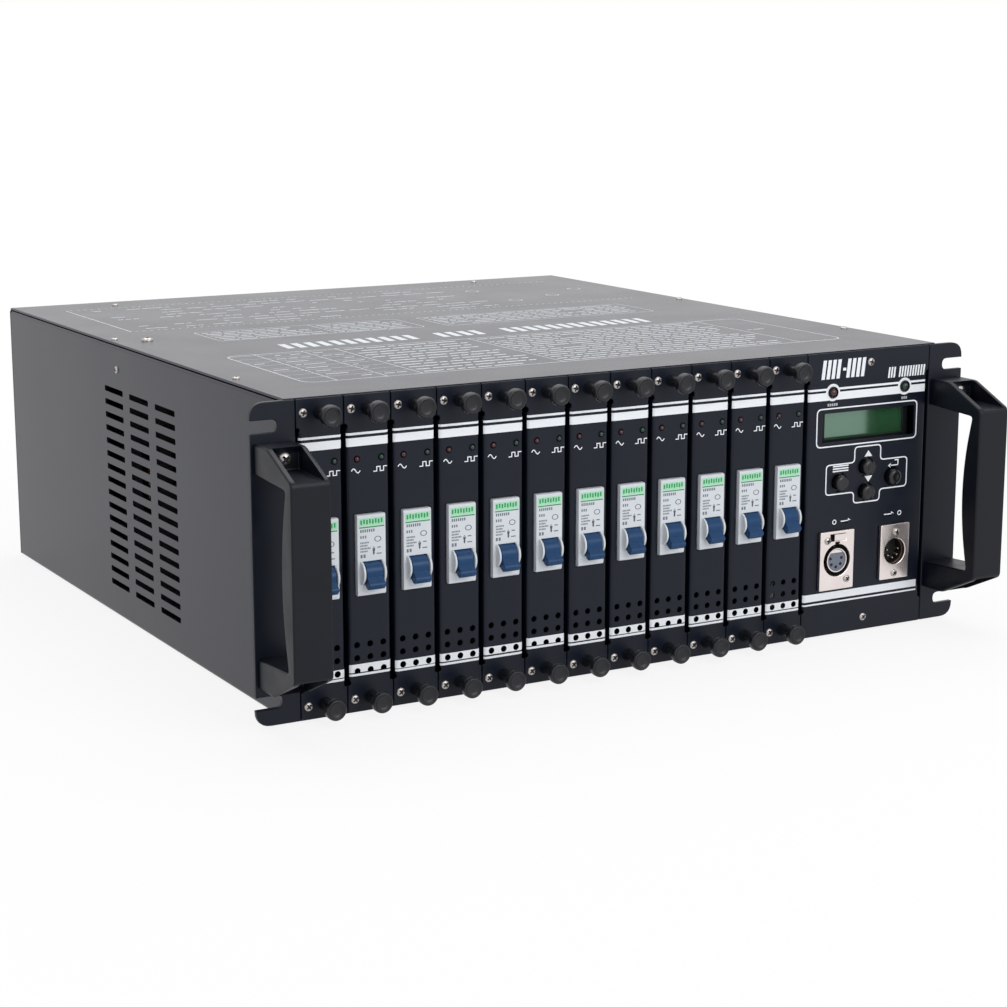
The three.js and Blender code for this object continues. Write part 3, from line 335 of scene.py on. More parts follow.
def bent(form, straights, deep=1, only=None):
    """A flat sheet rolled up on both sides of X 0, with a quarter turn after each straight"""
    mesh = mesh_of(form)
    starts = []
    reach = 0.0
    for straight in straights:
        reach += straight
        starts.append(reach)
        reach += BEND_ARC
    normal = Vector((1, 0, 0))
    for start in starts:
        for side in BOTH:
            for k in range(BEND_STEPS + 1):
                where = normal * side * (start + BEND_ARC * k / BEND_STEPS)
                geometry = mesh.verts[:] + mesh.edges[:] + mesh.faces[:]
                bmesh.ops.bisect_plane(mesh, geom=geometry, plane_co=where, plane_no=normal, dist=TOUCH)
    for vert in mesh.verts:
        if only and not only(vert.co):
            continue
        side = -1 if vert.co.x < 0 else 1
        distance, depth = abs(vert.co.x), vert.co[deep] - SHEET / 2
        place, heading, passed = Vector((0, SHEET / 2)), 0.0, 0.0
        for start in starts:
            straight = min(distance, start) - passed
            place = place + straight * ahead(heading)
            passed += straight
            if distance <= start:
                break
            share = min(1.0, (distance - start) / BEND_ARC)
            centre = place + BEND_RADIUS * across(heading)
            heading += share * QUARTER
            place = centre - BEND_RADIUS * across(heading)
            passed = start + share * BEND_ARC
        place = place + (distance - passed) * ahead(heading) + depth * across(heading)
        vert.co.x = side * place[0]
        vert.co[deep] = place[1]
    return form_of(mesh)


def build(name, parts):
    """One mesh of several forms, each with its own material"""
    materials, points, faces, slots = [], [], [], []
    for form, material in parts:
        if material not in materials:
            materials.append(material)
        base = len(points)
        points.extend(form[0])
        faces.extend(tuple(i + base for i in face) for face in form[1])
        slots.extend([materials.index(material)] * len(form[1]))
    mesh = bpy.data.meshes.new(name)
    mesh.from_pydata([Vector(p) * MM for p in points], [], faces)
    for material in materials:
        mesh.materials.append(material)
    mesh.polygons.foreach_set("material_index", slots)
    mesh.polygons.foreach_set("use_smooth", [True] * len(faces))
    shell = bmesh.new()
    shell.from_mesh(mesh)
    bmesh.ops.recalc_face_normals(shell, faces=shell.faces)
    shell.to_mesh(mesh)
    shell.free()
    mesh.set_sharp_from_angle(angle=SHARP_ANGLE)
    return mesh


def put(name, mesh, body, nodes=(), x=0.0, z=0.0):
    """Shows a mesh as a piece that rides on a body"""
    piece = bpy.data.objects.new(name, mesh)
    even = piece.modifiers.new("even_shading", "WEIGHTED_NORMAL")
    even.keep_sharp = True
    even.weight = 100
    bpy.context.scene.collection.objects.link(piece)
    piece.location = (x * MM, -CASE_DEPTH / 2 * MM, z * MM)
    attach(piece, body)
    if nodes:
        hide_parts(*nodes)


def show(name, parts, nodes=(), x=0.0, z=0.0, body="case"):
    put(name, build(name, parts), body, nodes, x, z)


# Materials
def linear(code):
    parts = [int(code[i:i + 2], 16) / 255 for i in (0, 2, 4)]
    return [c / 12.92 if c <= 0.04045 else ((c + 0.055) / 1.055) ** 2.4 for c in parts] + [1.0]


def fill(node, **values):
    """Gives a node's inputs their values; a low line in a name stands for a space"""
    for name, value in values.items():
        node.inputs[name.replace("_", " ")].default_value = value
    return node


def add_node(nodes, kind, **values):
    return fill(nodes.new("ShaderNode" + kind), **values)


def finish(name, colour, roughness, metallic=0.0, spread=0.05, blotch=60.0, grain=1400.0, bump=0.01,
           rough_spread=0.06, coat=0.0, specular=0.5, ior=1.5, shine=(1, 1, 1)):
    """A surface whose colour, roughness and fine relief vary over it"""
    material = bpy.data.materials.new(name)
    material.use_nodes = True
    nodes, links = material.node_tree.nodes, material.node_tree.links
    shader = nodes["Principled BSDF"]
    fill(shader, Metallic=metallic, Coat_Weight=coat, Coat_Roughness=0.1, Specular_IOR_Level=specular,
         Specular_Tint=(*shine, 1), IOR=ior)
    low, high = 0.3, 0.7
    smoothest, roughest = max(0.02, roughness - rough_spread), min(1.0, roughness + rough_spread)
    place = add_node(nodes, "TexCoord")
    broad = add_node(nodes, "TexNoise", Scale=blotch, Detail=5.0)
    fine = add_node(nodes, "TexNoise", Scale=grain, Detail=2.0)
    tint = add_node(nodes, "ValToRGB")
    rough = add_node(nodes, "MapRange", From_Min=low, From_Max=high, To_Min=smoothest, To_Max=roughest)
    relief = add_node(nodes, "Bump", Strength=1.0, Distance=bump * MM)
    base = linear(colour)[:3]
    for stop, where, share in zip(tint.color_ramp.elements, (low, high), (1 - spread, 1 + spread)):
        stop.position = where
        stop.color = [min(1.0, c * share) for c in base] + [1.0]
    for source in (broad, fine):
        links.new(place.outputs["Object"], source.inputs["Vector"])
    links.new(broad.outputs["Fac"], tint.inputs["Fac"])
    links.new(broad.outputs["Fac"], rough.inputs["Value"])
    links.new(fine.outputs["Fac"], relief.inputs["Height"])
    links.new(tint.outputs["Color"], shader.inputs["Base Color"])
    links.new(rough.outputs["Result"], shader.inputs["Roughness"])
    links.new(relief.outputs["Normal"], shader.inputs["Normal"])
    return material


case_paint = finish("case_paint", "1f212c", 0.24, spread=0.02, blotch=25.0, grain=1500.0, bump=0.02,
                    rough_spread=0.015, specular=0.22, shine=(0.92, 0.93, 1.0))
plate_paint = finish("plate_paint", "0f1522", 0.36, spread=0.08, grain=1800.0, bump=0.02, specular=0.24)
handle_plastic = finish("handle_plastic", "0c1019", 0.4, spread=0.04, grain=2200.0, bump=0.03, specular=0.24)
black_plastic = finish("black_plastic", "121316", 0.5, spread=0.08, grain=2000.0, bump=0.03, specular=0.24)
knob_rubber = finish("knob_rubber", "101218", 0.36, spread=0.08, grain=2600.0, bump=0.02, specular=0.4)
button_gloss = finish("button_gloss", "0c0e12", 0.22, spread=0.06, bump=0.005, rough_spread=0.03)
white_ink = finish("white_ink", "f7f9fb", 0.5, spread=0.02)
cover_ink = finish("cover_ink", "dfe2e6", 0.5, spread=0.03)
dull_ink = finish("dull_ink", "b9bcc0", 0.55)
breaker_white = finish("breaker_white", "dcdfe2", 0.38, spread=0.02)
pale_green = finish("pale_green", "a6e3b8", 0.45, spread=0.03)
mark_green = finish("mark_green", "2e9a5c", 0.5)
mark_grey = finish("mark_grey", "6d757c", 0.5)
toggle_blue = finish("toggle_blue", "15406a", 0.3, specular=0.24)
nickel = finish("nickel", "e8dedb", 0.28, metallic=1.0, rough_spread=0.08)
screw_steel = finish("screw_steel", "b3aeab", 0.36, metallic=1.0, spread=0.08, rough_spread=0.1, bump=0.02)
# The screws' steel darkened, as painted shade for the floor of a cross recess
recess_shade_steel = finish("recess_shade_steel", "343130", 0.6, metallic=0.6, spread=0.1, bump=0.02)
steel = finish("steel", "b9bbbd", 0.35, metallic=1.0)
zinc = finish("zinc_casting", "9c9fa1", 0.42, metallic=0.9, spread=0.07, bump=0.05)
aluminium = finish("aluminium", "a9adb0", 0.4, metallic=1.0, spread=0.06, bump=0.02)
copper = finish("copper", "a5532c", 0.3, metallic=0.9, spread=0.12, coat=0.3)
ferrite = finish("ferrite", "3c4a3a", 0.55, spread=0.1, bump=0.03)
board_green = finish("circuit_board", "1d5a36", 0.4, spread=0.12, blotch=220.0, bump=0.04, coat=0.2)
brass = finish("brass", "54463a", 0.35, metallic=0.8, spread=0.1)
gold = finish("gold", "c79a4a", 0.3, metallic=1.0)
led_red = finish("led_red", "3d0a13", 0.2, bump=0.0, coat=0.2)
led_green = finish("led_green", "083022", 0.2, bump=0.0, coat=0.2)
lcd_green = finish("lcd_green", "2c5636", 0.12, spread=0.03, bump=0.0, rough_spread=0.01, ior=2.5,
                   shine=(0.72, 1.0, 0.88))
contact_face = finish("contact_face", "6d7480", 0.5, bump=0.02)
# Near black with little gloss, as painted shade: the trays darken the inside of the case seen through the
# side vents
tray_painted_shade = finish("tray_painted_shade", "08090b", 0.8, spread=0.1, bump=0.02, specular=0.1)
# Near black: the insulator at the floor of the input cup, and painted shade in the output socket's groove
# and latch recess
black_and_painted_shade = finish("black_and_painted_shade", "0a0a0b", 0.7, spread=0.1, bump=0.02)

# Screws: a domed head with a crossed recess, drawn facing forwards with its seat at Y 0
HEAD_SHARES = [(0.0, 1.0), (0.5, 0.95), (0.82, 0.72), (0.97, 0.4), (1.0, 0.2), (1.0, 0.0), (0.0, 0.0)]
ARM_SHARE = 0.66
NARROW_SHARE = 0.19
FIRST_TURN = 15
NEXT_TURN = 37


def cross_loop(arm, narrow):
    corner = [(narrow, -arm), (narrow, -narrow), (arm, -narrow)]
    quarters = [[(a, b), (-b, a), (-a, -b), (b, -a)] for a, b in corner]
    return [points[turn] for turn in range(4) for points in quarters]


def cross_screw(radius, height):
    """The head with its recess, and a cross at the floor of the recess, dark with painted shade"""
    head = lathe([(radius * out, -height * up) for out, up in HEAD_SHARES], "y", 32)
    arm, narrow = radius * ARM_SHARE, radius * NARROW_SHARE
    recess = prism([cross_loop(arm, narrow)], [], -height * 1.5, -height * 0.2)
    # A cross at the floor of the recess, drawn dark as painted shade
    floor = prism([cross_loop(arm + INK, narrow + INK)], [], -height * 0.3, -height * 0.1)
    return cut(head, recess), floor


plate_screw = cross_screw(2.5, 1.25)
large_screw = cross_screw(3.8, 2.0)
small_screw = cross_screw(2.3, 1.2)


def screws(places, screw=plate_screw, aim=("X", 0)):
    """Heads at several places, each turned its own way, before they are aimed"""
    parts = []
    # Each head takes the steel, and its recess floor the painted shade
    for form, material in zip(screw, (screw_steel, recess_shade_steel)):
        heads = [turned(turned(form, "Y", NEXT_TURN * i + FIRST_TURN), *aim) for i in range(len(places))]
        parts.append((joined([moved(head, *place) for head, place in zip(heads, places)]), material))
    return parts


# Front plates: a folded sheet with screw tabs above and below
NOTCH = 1.3
PLATE_RADII = [0.8, 0.4, 1.4, 1.4, 1.5]
FOLD_SLACK = 0.01


def bend_line(width):
    """How far from its middle a plate begins to bend"""
    return width / 2 - FOLD_INSET - BEND


def plate_outline(width):
    tab = width / 2 - GAP
    line = bend_line(width)
    notch, reach = line + NOTCH, line + BEND_ARC + FOLD_DEPTH - BEND
    low, high = PLATE_BOTTOM + TAB_HEIGHT, PLATE_TOP - TAB_HEIGHT
    side = [(tab, PLATE_BOTTOM), (tab, low), (notch, low), (notch, FOLD_BOTTOM), (reach, FOLD_BOTTOM),
            (reach, FOLD_TOP), (notch, FOLD_TOP), (notch, high), (tab, high), (tab, PLATE_TOP)]
    mirrored = [(-a, b) for a, b in reversed(side)]
    return rounded(side + mirrored, (PLATE_RADII + PLATE_RADII[::-1]) * 2)


def in_fold(point):
    return FOLD_BOTTOM - FOLD_SLACK <= point.z <= FOLD_TOP + FOLD_SLACK


def folded(form, width, only=None):
    """A flat form, drawn about X 0, bent as a plate of that width and moved to begin at X 0"""
    return moved(bent(form, [bend_line(width)], only=only), width / 2)


def folded_plate(width, holes):
    shifted = [[(a - width / 2, b) for a, b in hole] for hole in holes]
    return folded(prism([plate_outline(width)], shifted, 0, SHEET, "y", EDGE), width, in_fold)


def ink(outers, holes=()):
    """A printed layer on a front face"""
    return prism(outers, list(holes), -INK, INK / 2)


def ink_ring(a, b, outer, inner, sides=24):
    return ink([circle(a, b, outer, sides)], [circle(a, b, inner, sides)])


# Channel plate, drawn with its left edge at X 0
MIDDLE_X = PITCH / 2
BREAKER_X = MIDDLE_X + 0.4
BREAKER_WIDTH = 17.2
NOSE_HEIGHT = 45.0
NOSE_PROUD = 2.4
LOWEST_HOLES = 23.6
HOLE_PITCH = 7.35
HOLE_SPREAD = 8.0
HOLE_RADIUS = 1.7
LED_HOLE = 1.75
LED_Z = 141.4
RED_X = 7.4
GREEN_X = 22.0
KNOB_ZS = (8.5, 168.5)
CHANNEL_SCREWS = [(4.2, 0, 169.0), (4.2, 0, 8.0)]
KNOB_PROFILE = [(0, -14.7), (2.4, -14.7), (3.6, -14.9), (4.3, -15.5), (4.9, -15.95), (5.5, -15.8),
                (5.95, -15.2), (6.05, -14.4), (6.0, -12.2), (5.7, -11.4), (4.8, -11.0), (3.4, -10.8),
                (3.1, -10.2), (3.1, -2.2), (3.7, -1.4), (3.7, 0.0), (0, 0.0)]
LED_PROFILE = [(0, -1.1), (0.8, -0.95), (1.3, -0.45), (1.5, 0.3), (1.5, 5.0), (0, 5.0)]

hole_places = [(MIDDLE_X + HOLE_SPREAD * i, LOWEST_HOLES + HOLE_PITCH * k)
               for i in (-1, 0, 1) for k in range(3)]
led_places = [(RED_X, LED_Z), (GREEN_X, LED_Z)]
channel_holes = circles(hole_places, HOLE_RADIUS) + circles(led_places, LED_HOLE)
breaker_window = rectangle(BREAKER_X, MIDDLE_Z, BREAKER_WIDTH + 0.6, NOSE_HEIGHT + 0.8)
channel_holes.append(rounded(breaker_window, 1.0))
channel_plate = build("channel_plate", [(folded_plate(PITCH, channel_holes), plate_paint)])
knob = lathe(KNOB_PROFILE, "y", 36)
knobs = repeated(knob, [(MIDDLE_X, z) for z in KNOB_ZS])
channel_knobs = build("channel_knobs", [(knobs, knob_rubber)])
channel_screws = build("channel_screws", screws(CHANNEL_SCREWS))
led = lathe(LED_PROFILE, "y", 20)
channel_lamps = build("channel_lamps", [
    (moved(led, x, 0, z), material) for (x, z), material in zip(led_places, (led_red, led_green))])

# Channel printing
WRAP = 1.45
PRINT_HALF = bend_line(PITCH) + WRAP
BAND_HALF = 2.3
BITE = 1.85
THIN_LINE = 1.3
THICK_LINE = 4.6
HIGH_LINE_Z = 155.0
LOW_LINE_Z = 150.5
MARK_STROKE = 0.55
MARK_Z = 135.0
MARK_HEIGHT = 2.4
WAVE_STEPS = 16
BITE_STEPS = 12


def bitten_band(left, right, low, high, bites):
    """A band whose lower edge runs round the holes that cross it"""
    loop = [(left, high), (left, low)]
    for a, b, radius in sorted(bites):
        reach = math.sqrt(radius ** 2 - (low - b) ** 2)
        start = math.atan2(low - b, -reach) % (2 * math.pi)
        end = math.atan2(low - b, reach)
        loop += arc(a, b, radius, start, end - start, BITE_STEPS)
    return loop + [(right, low), (right, high)]


def wave_mark(a, b, width, height):
    path = [(a - width / 2 + width * i / WAVE_STEPS, b + height / 2 * math.sin(2 * math.pi * i / WAVE_STEPS))
            for i in range(WAVE_STEPS + 1)]
    return stroke(path, MARK_STROKE)


def pulse_mark(a, b, width, height):
    w, h = width / 2, height / 2
    return stroke([(a - w, b - h), (a - w / 2, b - h), (a - w / 2, b + h), (a, b + h), (a, b - h),
                   (a + w / 2, b - h), (a + w / 2, b + h), (a + w, b + h)], MARK_STROKE)


def channel_print(band_shift, line_shift, lift):
    """Bands above and below, set a little differently on each module, and two marks under the lamps"""
    middle, width = MIDDLE_X, 2 * PRINT_HALF
    band_z = LOWEST_HOLES + band_shift
    holes = [(x, z, BITE) for x, z in hole_places if z == LOWEST_HOLES]
    lines = [rectangle(middle, HIGH_LINE_Z + lift, width, THIN_LINE),
             rectangle(middle, LOW_LINE_Z + lift, width, THICK_LINE),
             rectangle(middle, LOWEST_HOLES + line_shift, width, THIN_LINE)]
    low, high = band_z - BAND_HALF, band_z + BAND_HALF
    if low < LOWEST_HOLES - BITE:
        band = ink([rectangle(middle, band_z, width, high - low)], [circle(*hole) for hole in holes])
    else:
        band = ink([bitten_band(middle - PRINT_HALF, middle + PRINT_HALF, low, high, holes)])
    marks = ink([wave_mark(6.6, MARK_Z, 5.2, MARK_HEIGHT), pulse_mark(21.2, MARK_Z, 8.2, MARK_HEIGHT)])
    return joined([folded(moved(joined([ink(lines), band]), -PITCH / 2), PITCH), marks])


# Tray with its rail
TRAY_LEFT = 2.65
TRAY_RIGHT = TRAY_LEFT + SHEET
TRAY_BOTTOM = 14.0
TRAY_TOP = CHASSIS_TOP - TRAY_BOTTOM
TRAY_DEPTH = 318.0
TRAY_CORNER = 3.0
RAIL_RIGHT = 22.8
RAIL_HALF = 17.2
tray_outline = rounded(span(SHEET, TRAY_DEPTH, TRAY_BOTTOM, TRAY_TOP), TRAY_CORNER)
tray_holes = circles([(y, z) for y in (84, 182, 190, 260, 300) for z in (26, 151)], 2.2, 16)
tray_holes += [rounded(span(*window), TRAY_CORNER) for window in ((154, 186, 92, 124), (212, 238, 66, 111))]
tray = prism([tray_outline], tray_holes, TRAY_LEFT, TRAY_RIGHT, "x", SOFT_EDGE)
rail = block(TRAY_LEFT, RAIL_RIGHT, 64.8, 66.3, MIDDLE_Z - RAIL_HALF, MIDDLE_Z + RAIL_HALF, SOFT_EDGE)
# The tray is drawn near black as painted shade for the inside of the case
channel_tray = build("channel_tray", [(tray, tray_painted_shade), (rail, steel)])

# Heat sink
FINS = 13
FIN_HALF = 0.8
SINK_FRONT = 92
SINK_BACK = 172
SINK_BASE = 4.0
SINK_RIGHT = 24.0
FINS_HEIGHT = 98.4
sink_parts = [block(TRAY_RIGHT, TRAY_RIGHT + SINK_BASE, SINK_FRONT, SINK_BACK, MIDDLE_Z - 50, MIDDLE_Z + 50,
                    SOFT_EDGE)]
for fin in range(FINS):
    z = MIDDLE_Z - FINS_HEIGHT / 2 + fin * FINS_HEIGHT / (FINS - 1)
    sink_parts.append(block(TRAY_RIGHT + SINK_BASE - 0.4, SINK_RIGHT, SINK_FRONT, SINK_BACK,
                            z - FIN_HALF, z + FIN_HALF, SOFT_EDGE))
channel_sink = build("channel_sink", [(joined(sink_parts), aluminium)])

# Choke: a ring core and its winding
CHOKE_X = 14.1
CHOKE_Y = 225.0
CHOKE_RADIUS = 13.5
CORE_RADIUS = 7
CORE_SIDES = 14
WIRE_REACH = 8.3
WIRE_RADIUS = 0.85
TURNS = 34
TURN_STEPS = 10
core = lathe(circle(CHOKE_RADIUS, CHOKE_X, CORE_RADIUS, CORE_SIDES), "x", 36)
wire_path = []
for i in range(TURNS * TURN_STEPS):
    around, over = 2 * math.pi * i / (TURNS * TURN_STEPS), 2 * math.pi * i / TURN_STEPS
    radius = CHOKE_RADIUS + WIRE_REACH * math.cos(over)
    wire_path.append((CHOKE_X + WIRE_REACH * math.sin(over),
                      radius * math.cos(around), radius * math.sin(around)))
winding = tube(wire_path, WIRE_RADIUS, 6)
channel_choke = build("channel_choke", [
    (moved(core, 0, CHOKE_Y, MIDDLE_Z), ferrite), (moved(winding, 0, CHOKE_Y, MIDDLE_Z), copper)])

# Plug with a tongue and gold pads
PLUG_HALF = 28
TONGUE_HALF = 23
TONGUE_THICK = 2.5
PADS = 7
PAD_PITCH = 6
PAD_START = 21
PAD_WIDTH = 3.5
PAD_THICK = 0.1
plug_body = block(TRAY_LEFT, PITCH - 7.0, TRAY_DEPTH - 12.0, TRAY_DEPTH, MIDDLE_Z - PLUG_HALF,
                  MIDDLE_Z + PLUG_HALF, 0.5)
tongue = block(MIDDLE_X - TONGUE_THICK, MIDDLE_X + TONGUE_THICK, TRAY_DEPTH - 0.5,
               TRAY_DEPTH + 7, MIDDLE_Z - TONGUE_HALF, MIDDLE_Z + TONGUE_HALF, 0.6)
pads = []
for k in range(PADS):
    low = MIDDLE_Z - PAD_START + k * PAD_PITCH
    for side in BOTH:
        face = MIDDLE_X + side * TONGUE_THICK
        pads.append(block(face - PAD_THICK, face + PAD_THICK, TRAY_DEPTH + 0.8, TRAY_DEPTH + 6,
                          low, low + PAD_WIDTH))
channel_plug = build("channel_plug", [
    (plug_body, black_plastic), (tongue, board_green), (joined(pads), gold)])

# Circuit breaker
LEVER_Z = 78.8
BREAKER_BACK = 72.0
RECESS = 6.9
SLOT_HALF = 5.6
CHEEK = 1.3
BREAKER_SIDE = [(-NOSE_PROUD, NOSE_HEIGHT / 2), (16.0, NOSE_HEIGHT / 2), (16.0, 31.0), (20.0, 40.0),
                (BREAKER_BACK, 40.0), (BREAKER_BACK, 17.5), (64.5, 17.5)]
BREAKER_RADII = [1.4, 0.4, 1.0, 1.0, 1.0, 0.3, 0.3]


def breaker_form():
    loop = BREAKER_SIDE + [(y, -z) for y, z in reversed(BREAKER_SIDE)]
    outline = [(y, MIDDLE_Z + z) for y, z in rounded(loop, BREAKER_RADII + BREAKER_RADII[::-1])]
    left = BREAKER_X - BREAKER_WIDTH / 2
    body = prism([outline], [], left, left + BREAKER_WIDTH, "x", 0.5, 2)
    low, high = BREAKER_X - SLOT_HALF, BREAKER_X + SLOT_HALF
    return cut(body, prism([circle(0, LEVER_Z, RECESS, 40)], [], low, high, "x"))


def cheek(x0, x1):
    return prism([circle(0, LEVER_Z, RECESS + 0.2, 48)], [], x0, x1, "x", 0.4, 2)


cheeks = joined([cheek(BREAKER_X - SLOT_HALF - CHEEK, BREAKER_X - SLOT_HALF),
                 cheek(BREAKER_X + SLOT_HALF, BREAKER_X + SLOT_HALF + CHEEK)])
breaker_mesh = build("breaker", [(breaker_form(), breaker_white), (cheeks, breaker_white)])

# Breaker label: a green band over rows of grey marks
LABEL_LEFT = BREAKER_X - BREAKER_WIDTH / 2 + 1.2
LABEL_RIGHT = BREAKER_X + BREAKER_WIDTH / 2 - 0.9
LABEL_MIDDLE = (LABEL_LEFT + LABEL_RIGHT) / 2
LABEL_WIDTH = LABEL_RIGHT - LABEL_LEFT
BAND_Z = 106.9
GREEN_LINE_Z = 104.0
OVAL = (11.1, 97.0, 2.1, 1.6)
ARROW_X, ARROW_Z = LABEL_LEFT + 8.6, 90.7
GREY_ROWS = [(101.3, 7, 1.3, 0.8, 1.6), (98.0, 3, 1.4, 0.8, 1.5), (95.1, 6, 0.9, 0.6, 0.9),
             (93.5, 5, 0.9, 0.6, 0.9), (91.9, 7, 0.9, 0.6, 0.9), (90.3, 5, 0.9, 0.6, 0.9),
             (87.2, 2, 1.8, 1.2, 1.9)]


def nose_mark(outers, holes=()):
    return moved(ink(outers, holes), 0, -NOSE_PROUD)


def oval(radius):
    return [(LABEL_LEFT + OVAL[0] + a * OVAL[2], OVAL[1] + b * OVAL[3]) for a, b in circle(0, 0, radius, 28)]


def arrow_head(way):
    near, tip = ARROW_Z + way * 1.1, ARROW_Z + way * 2.5
    return [(ARROW_X - 0.8, near), (ARROW_X + 0.8, near), (ARROW_X, tip)]


band_mark = nose_mark([rectangle(LABEL_MIDDLE, BAND_Z, LABEL_WIDTH, 4.2)])
green_marks = [rectangle(LABEL_LEFT + 1.2 + 1.75 * i, BAND_Z + 0.3 * (i % 2), 1.0, 2.4) for i in range(8)]
green_line = nose_mark([rectangle(LABEL_MIDDLE, GREEN_LINE_Z, LABEL_WIDTH, 0.7)])
grey_marks = [bar for row in GREY_ROWS for bar in bar_row(LABEL_LEFT + 0.6, *row)]
arrow_marks = [rectangle(ARROW_X, ARROW_Z, 0.4, 3.6), arrow_head(1), arrow_head(-1),
               rectangle(ARROW_X + 3.2, ARROW_Z + 1.6, 2.2, 0.6),
               rectangle(ARROW_X + 3.2, ARROW_Z - 1.8, 3.0, 0.6)]
breaker_print = build("breaker_print", [
    (band_mark, pale_green), (moved(nose_mark(green_marks), 0, -INK), mark_green), (green_line, mark_green),
    (nose_mark(grey_marks + arrow_marks), mark_grey), (nose_mark([oval(1.0)], [oval(0.74)]), mark_grey)])

# Breaker toggle: a drum and a flared tongue, turned down to the off position
LEVER_ANGLE = 40.0
DRUM_RADIUS = 6.4
DRUM_HALF = 5.0
TONGUE_SIDE = [(-2.0, 3.2), (-10.2, 2.3), (-11.4, 1.6), (-11.4, -1.6), (-10.2, -2.3), (-2.0, -3.2)]
FLARE_START = 5.0
FLARE_LENGTH = 6.4
FLARE_SHARE = 0.09


def toggle_form():
    drum = prism([circle(0, 0, DRUM_RADIUS, 48)], [], -DRUM_HALF, DRUM_HALF, "x", BROAD_EDGE)
    tongue_points, tongue_faces = prism([rounded(TONGUE_SIDE, 0.6)], [], -4.8, 4.8, "x", 0.4)
    points = []
    for x, y, z in tongue_points:
        flare = max(0.0, (-y - FLARE_START) / FLARE_LENGTH)
        points.append((x * (1 + FLARE_SHARE * flare), y, z))
    return turned(joined([drum, (points, tongue_faces)]), "X", LEVER_ANGLE)


toggle_mesh = build("toggle", [(moved(toggle_form(), BREAKER_X, 0, LEVER_Z), toggle_blue)])

# The twelve channels: each piece with its mesh, its slot and the node that it stands for
CHANNEL_PIECES = [
    ("channel_plate", channel_plate, "module_plate", "module"),
    ("channel_knobs", channel_knobs, "black_plastic", "module"),
    ("channel_screws", channel_screws, "nickel", None),
    ("channel_lamps", channel_lamps, "black_plastic", None),
    ("channel_tray", channel_tray, "module_plate", "module"),
    ("channel_sink", channel_sink, "module_plate", "module"),
    ("channel_choke", channel_choke, "module_plate", "module"),
    ("channel_plug", channel_plug, "black_plastic", "module"),
    ("breaker_body", breaker_mesh, "breaker_plastic", "breaker"),
    ("breaker_print", breaker_print, "breaker_plastic", None),
]
BAND_SHIFTS = [0.0, 1.65, 0.35, 0.1, 0.1, 1.5, 0.0, 0.2, 1.4, -0.2, 0.0, 0.0]
LINE_SHIFTS = [-3.5, -2.0, -3.0, -3.6, -3.8, -2.0, -3.8, -3.3, -2.15, -3.8, -3.3, -3.6]
LINE_LIFTS = [0.0, 0.2, 0.4, 0.1, -0.1, 0.5, 0.2, 0.0, 0.4, 0.1, 0.2, 0.0]
for channel, shifts in enumerate(zip(BAND_SHIFTS, LINE_SHIFTS, LINE_LIFTS)):
    label = f"{channel + 1:02d}"
    left = BAY_LEFT + channel * PITCH
    body = f"channel_{label}"
    for name, mesh, slot, node in CHANNEL_PIECES:
        put(f"{name}_{label}", mesh, body, [f"{node}_{label}"] if node else [], left)
    marks = [(channel_print(*shifts), white_ink)]
    show(f"channel_print_{label}", marks, [], left, body=body)
    put(f"toggle_lever_{label}", toggle_mesh, f"toggle_{label}",
        [f"breaker_toggle_{label}"], left)

# Chassis: floor, sides and top flanges are one folded sheet
VENT_YS = [214.7 + (i - 1) * 43.3 for i in range(3)]
VENT_ZS = [84.0 + (i - 7.5) * 8.33 for i in range(16)]
VENT_HEIGHT = 3.6
VENT_LENGTH = 32.0
FLANGE = 11.0
LIP_HALF = 214.7
LIP_FRONT = 1.8
LIP_HEIGHT = 12.5
LIP_OVERLAP = 0.5
POST_X = 215.5
POST_HALF = 5.0
floor_half = CASE_HALF - BEND
wall = CHASSIS_TOP - 2 * BEND
wall_start = floor_half + BEND_ARC
flange_end = wall_start + wall + BEND_ARC + FLANGE
vents = [rounded(rectangle(side * (wall_start + z - BEND), y, VENT_HEIGHT, VENT_LENGTH), 0.9, 2)
         for y in VENT_YS for z in VENT_ZS for side in BOTH]
developed = span(-flange_end, flange_end, CHASSIS_FRONT, CHASSIS_BACK)
folded_case = bent(prism([developed], vents, 0, SHEET, "z"), [floor_half, wall], 2)
flange_low = CHASSIS_TOP - SHEET
lips = [(LIP_OVERLAP, 0, SHEET), (0, 0, LIP_HEIGHT), (0, CHASSIS_TOP - LIP_HEIGHT, CHASSIS_TOP),
        (LIP_OVERLAP, flange_low, CHASSIS_TOP)]
bars = [block(-LIP_HALF, LIP_HALF, LIP_FRONT, CHASSIS_FRONT + overlap, low, high)
        for overlap, low, high in lips]
bars.append(block(-219.5, 219.5, CHASSIS_FRONT, 17.8, flange_low, CHASSIS_TOP))
bars += [block(side * POST_X - POST_HALF, side * POST_X + POST_HALF, CHASSIS_BACK - SHEET, CHASSIS_BACK,
               SHEET, flange_low) for side in BOTH]
show("case_shell", [(folded_case, case_paint), (joined(bars), case_paint)], ["chassis"])

# Top cover
COVER_BACK = CASE_DEPTH + GAP + SHEET
COVER_LOW = CASE_HEIGHT - 14.0
COVER_RADII = [0.3, 0.3, 2.5, 0.3, 0.3, 1.0]
cover_side = [(COVER_FRONT, CASE_HEIGHT - SHEET), (COVER_FRONT, CASE_HEIGHT), (COVER_BACK, CASE_HEIGHT),
              (COVER_BACK, COVER_LOW), (COVER_BACK - SHEET, COVER_LOW),
              (COVER_BACK - SHEET, CASE_HEIGHT - SHEET)]
cover = prism([rounded(cover_side, COVER_RADII)], [], -COVER_HALF, COVER_HALF, "x", BROAD_EDGE)
show("case_cover", [(cover, case_paint)], ["top_cover"])

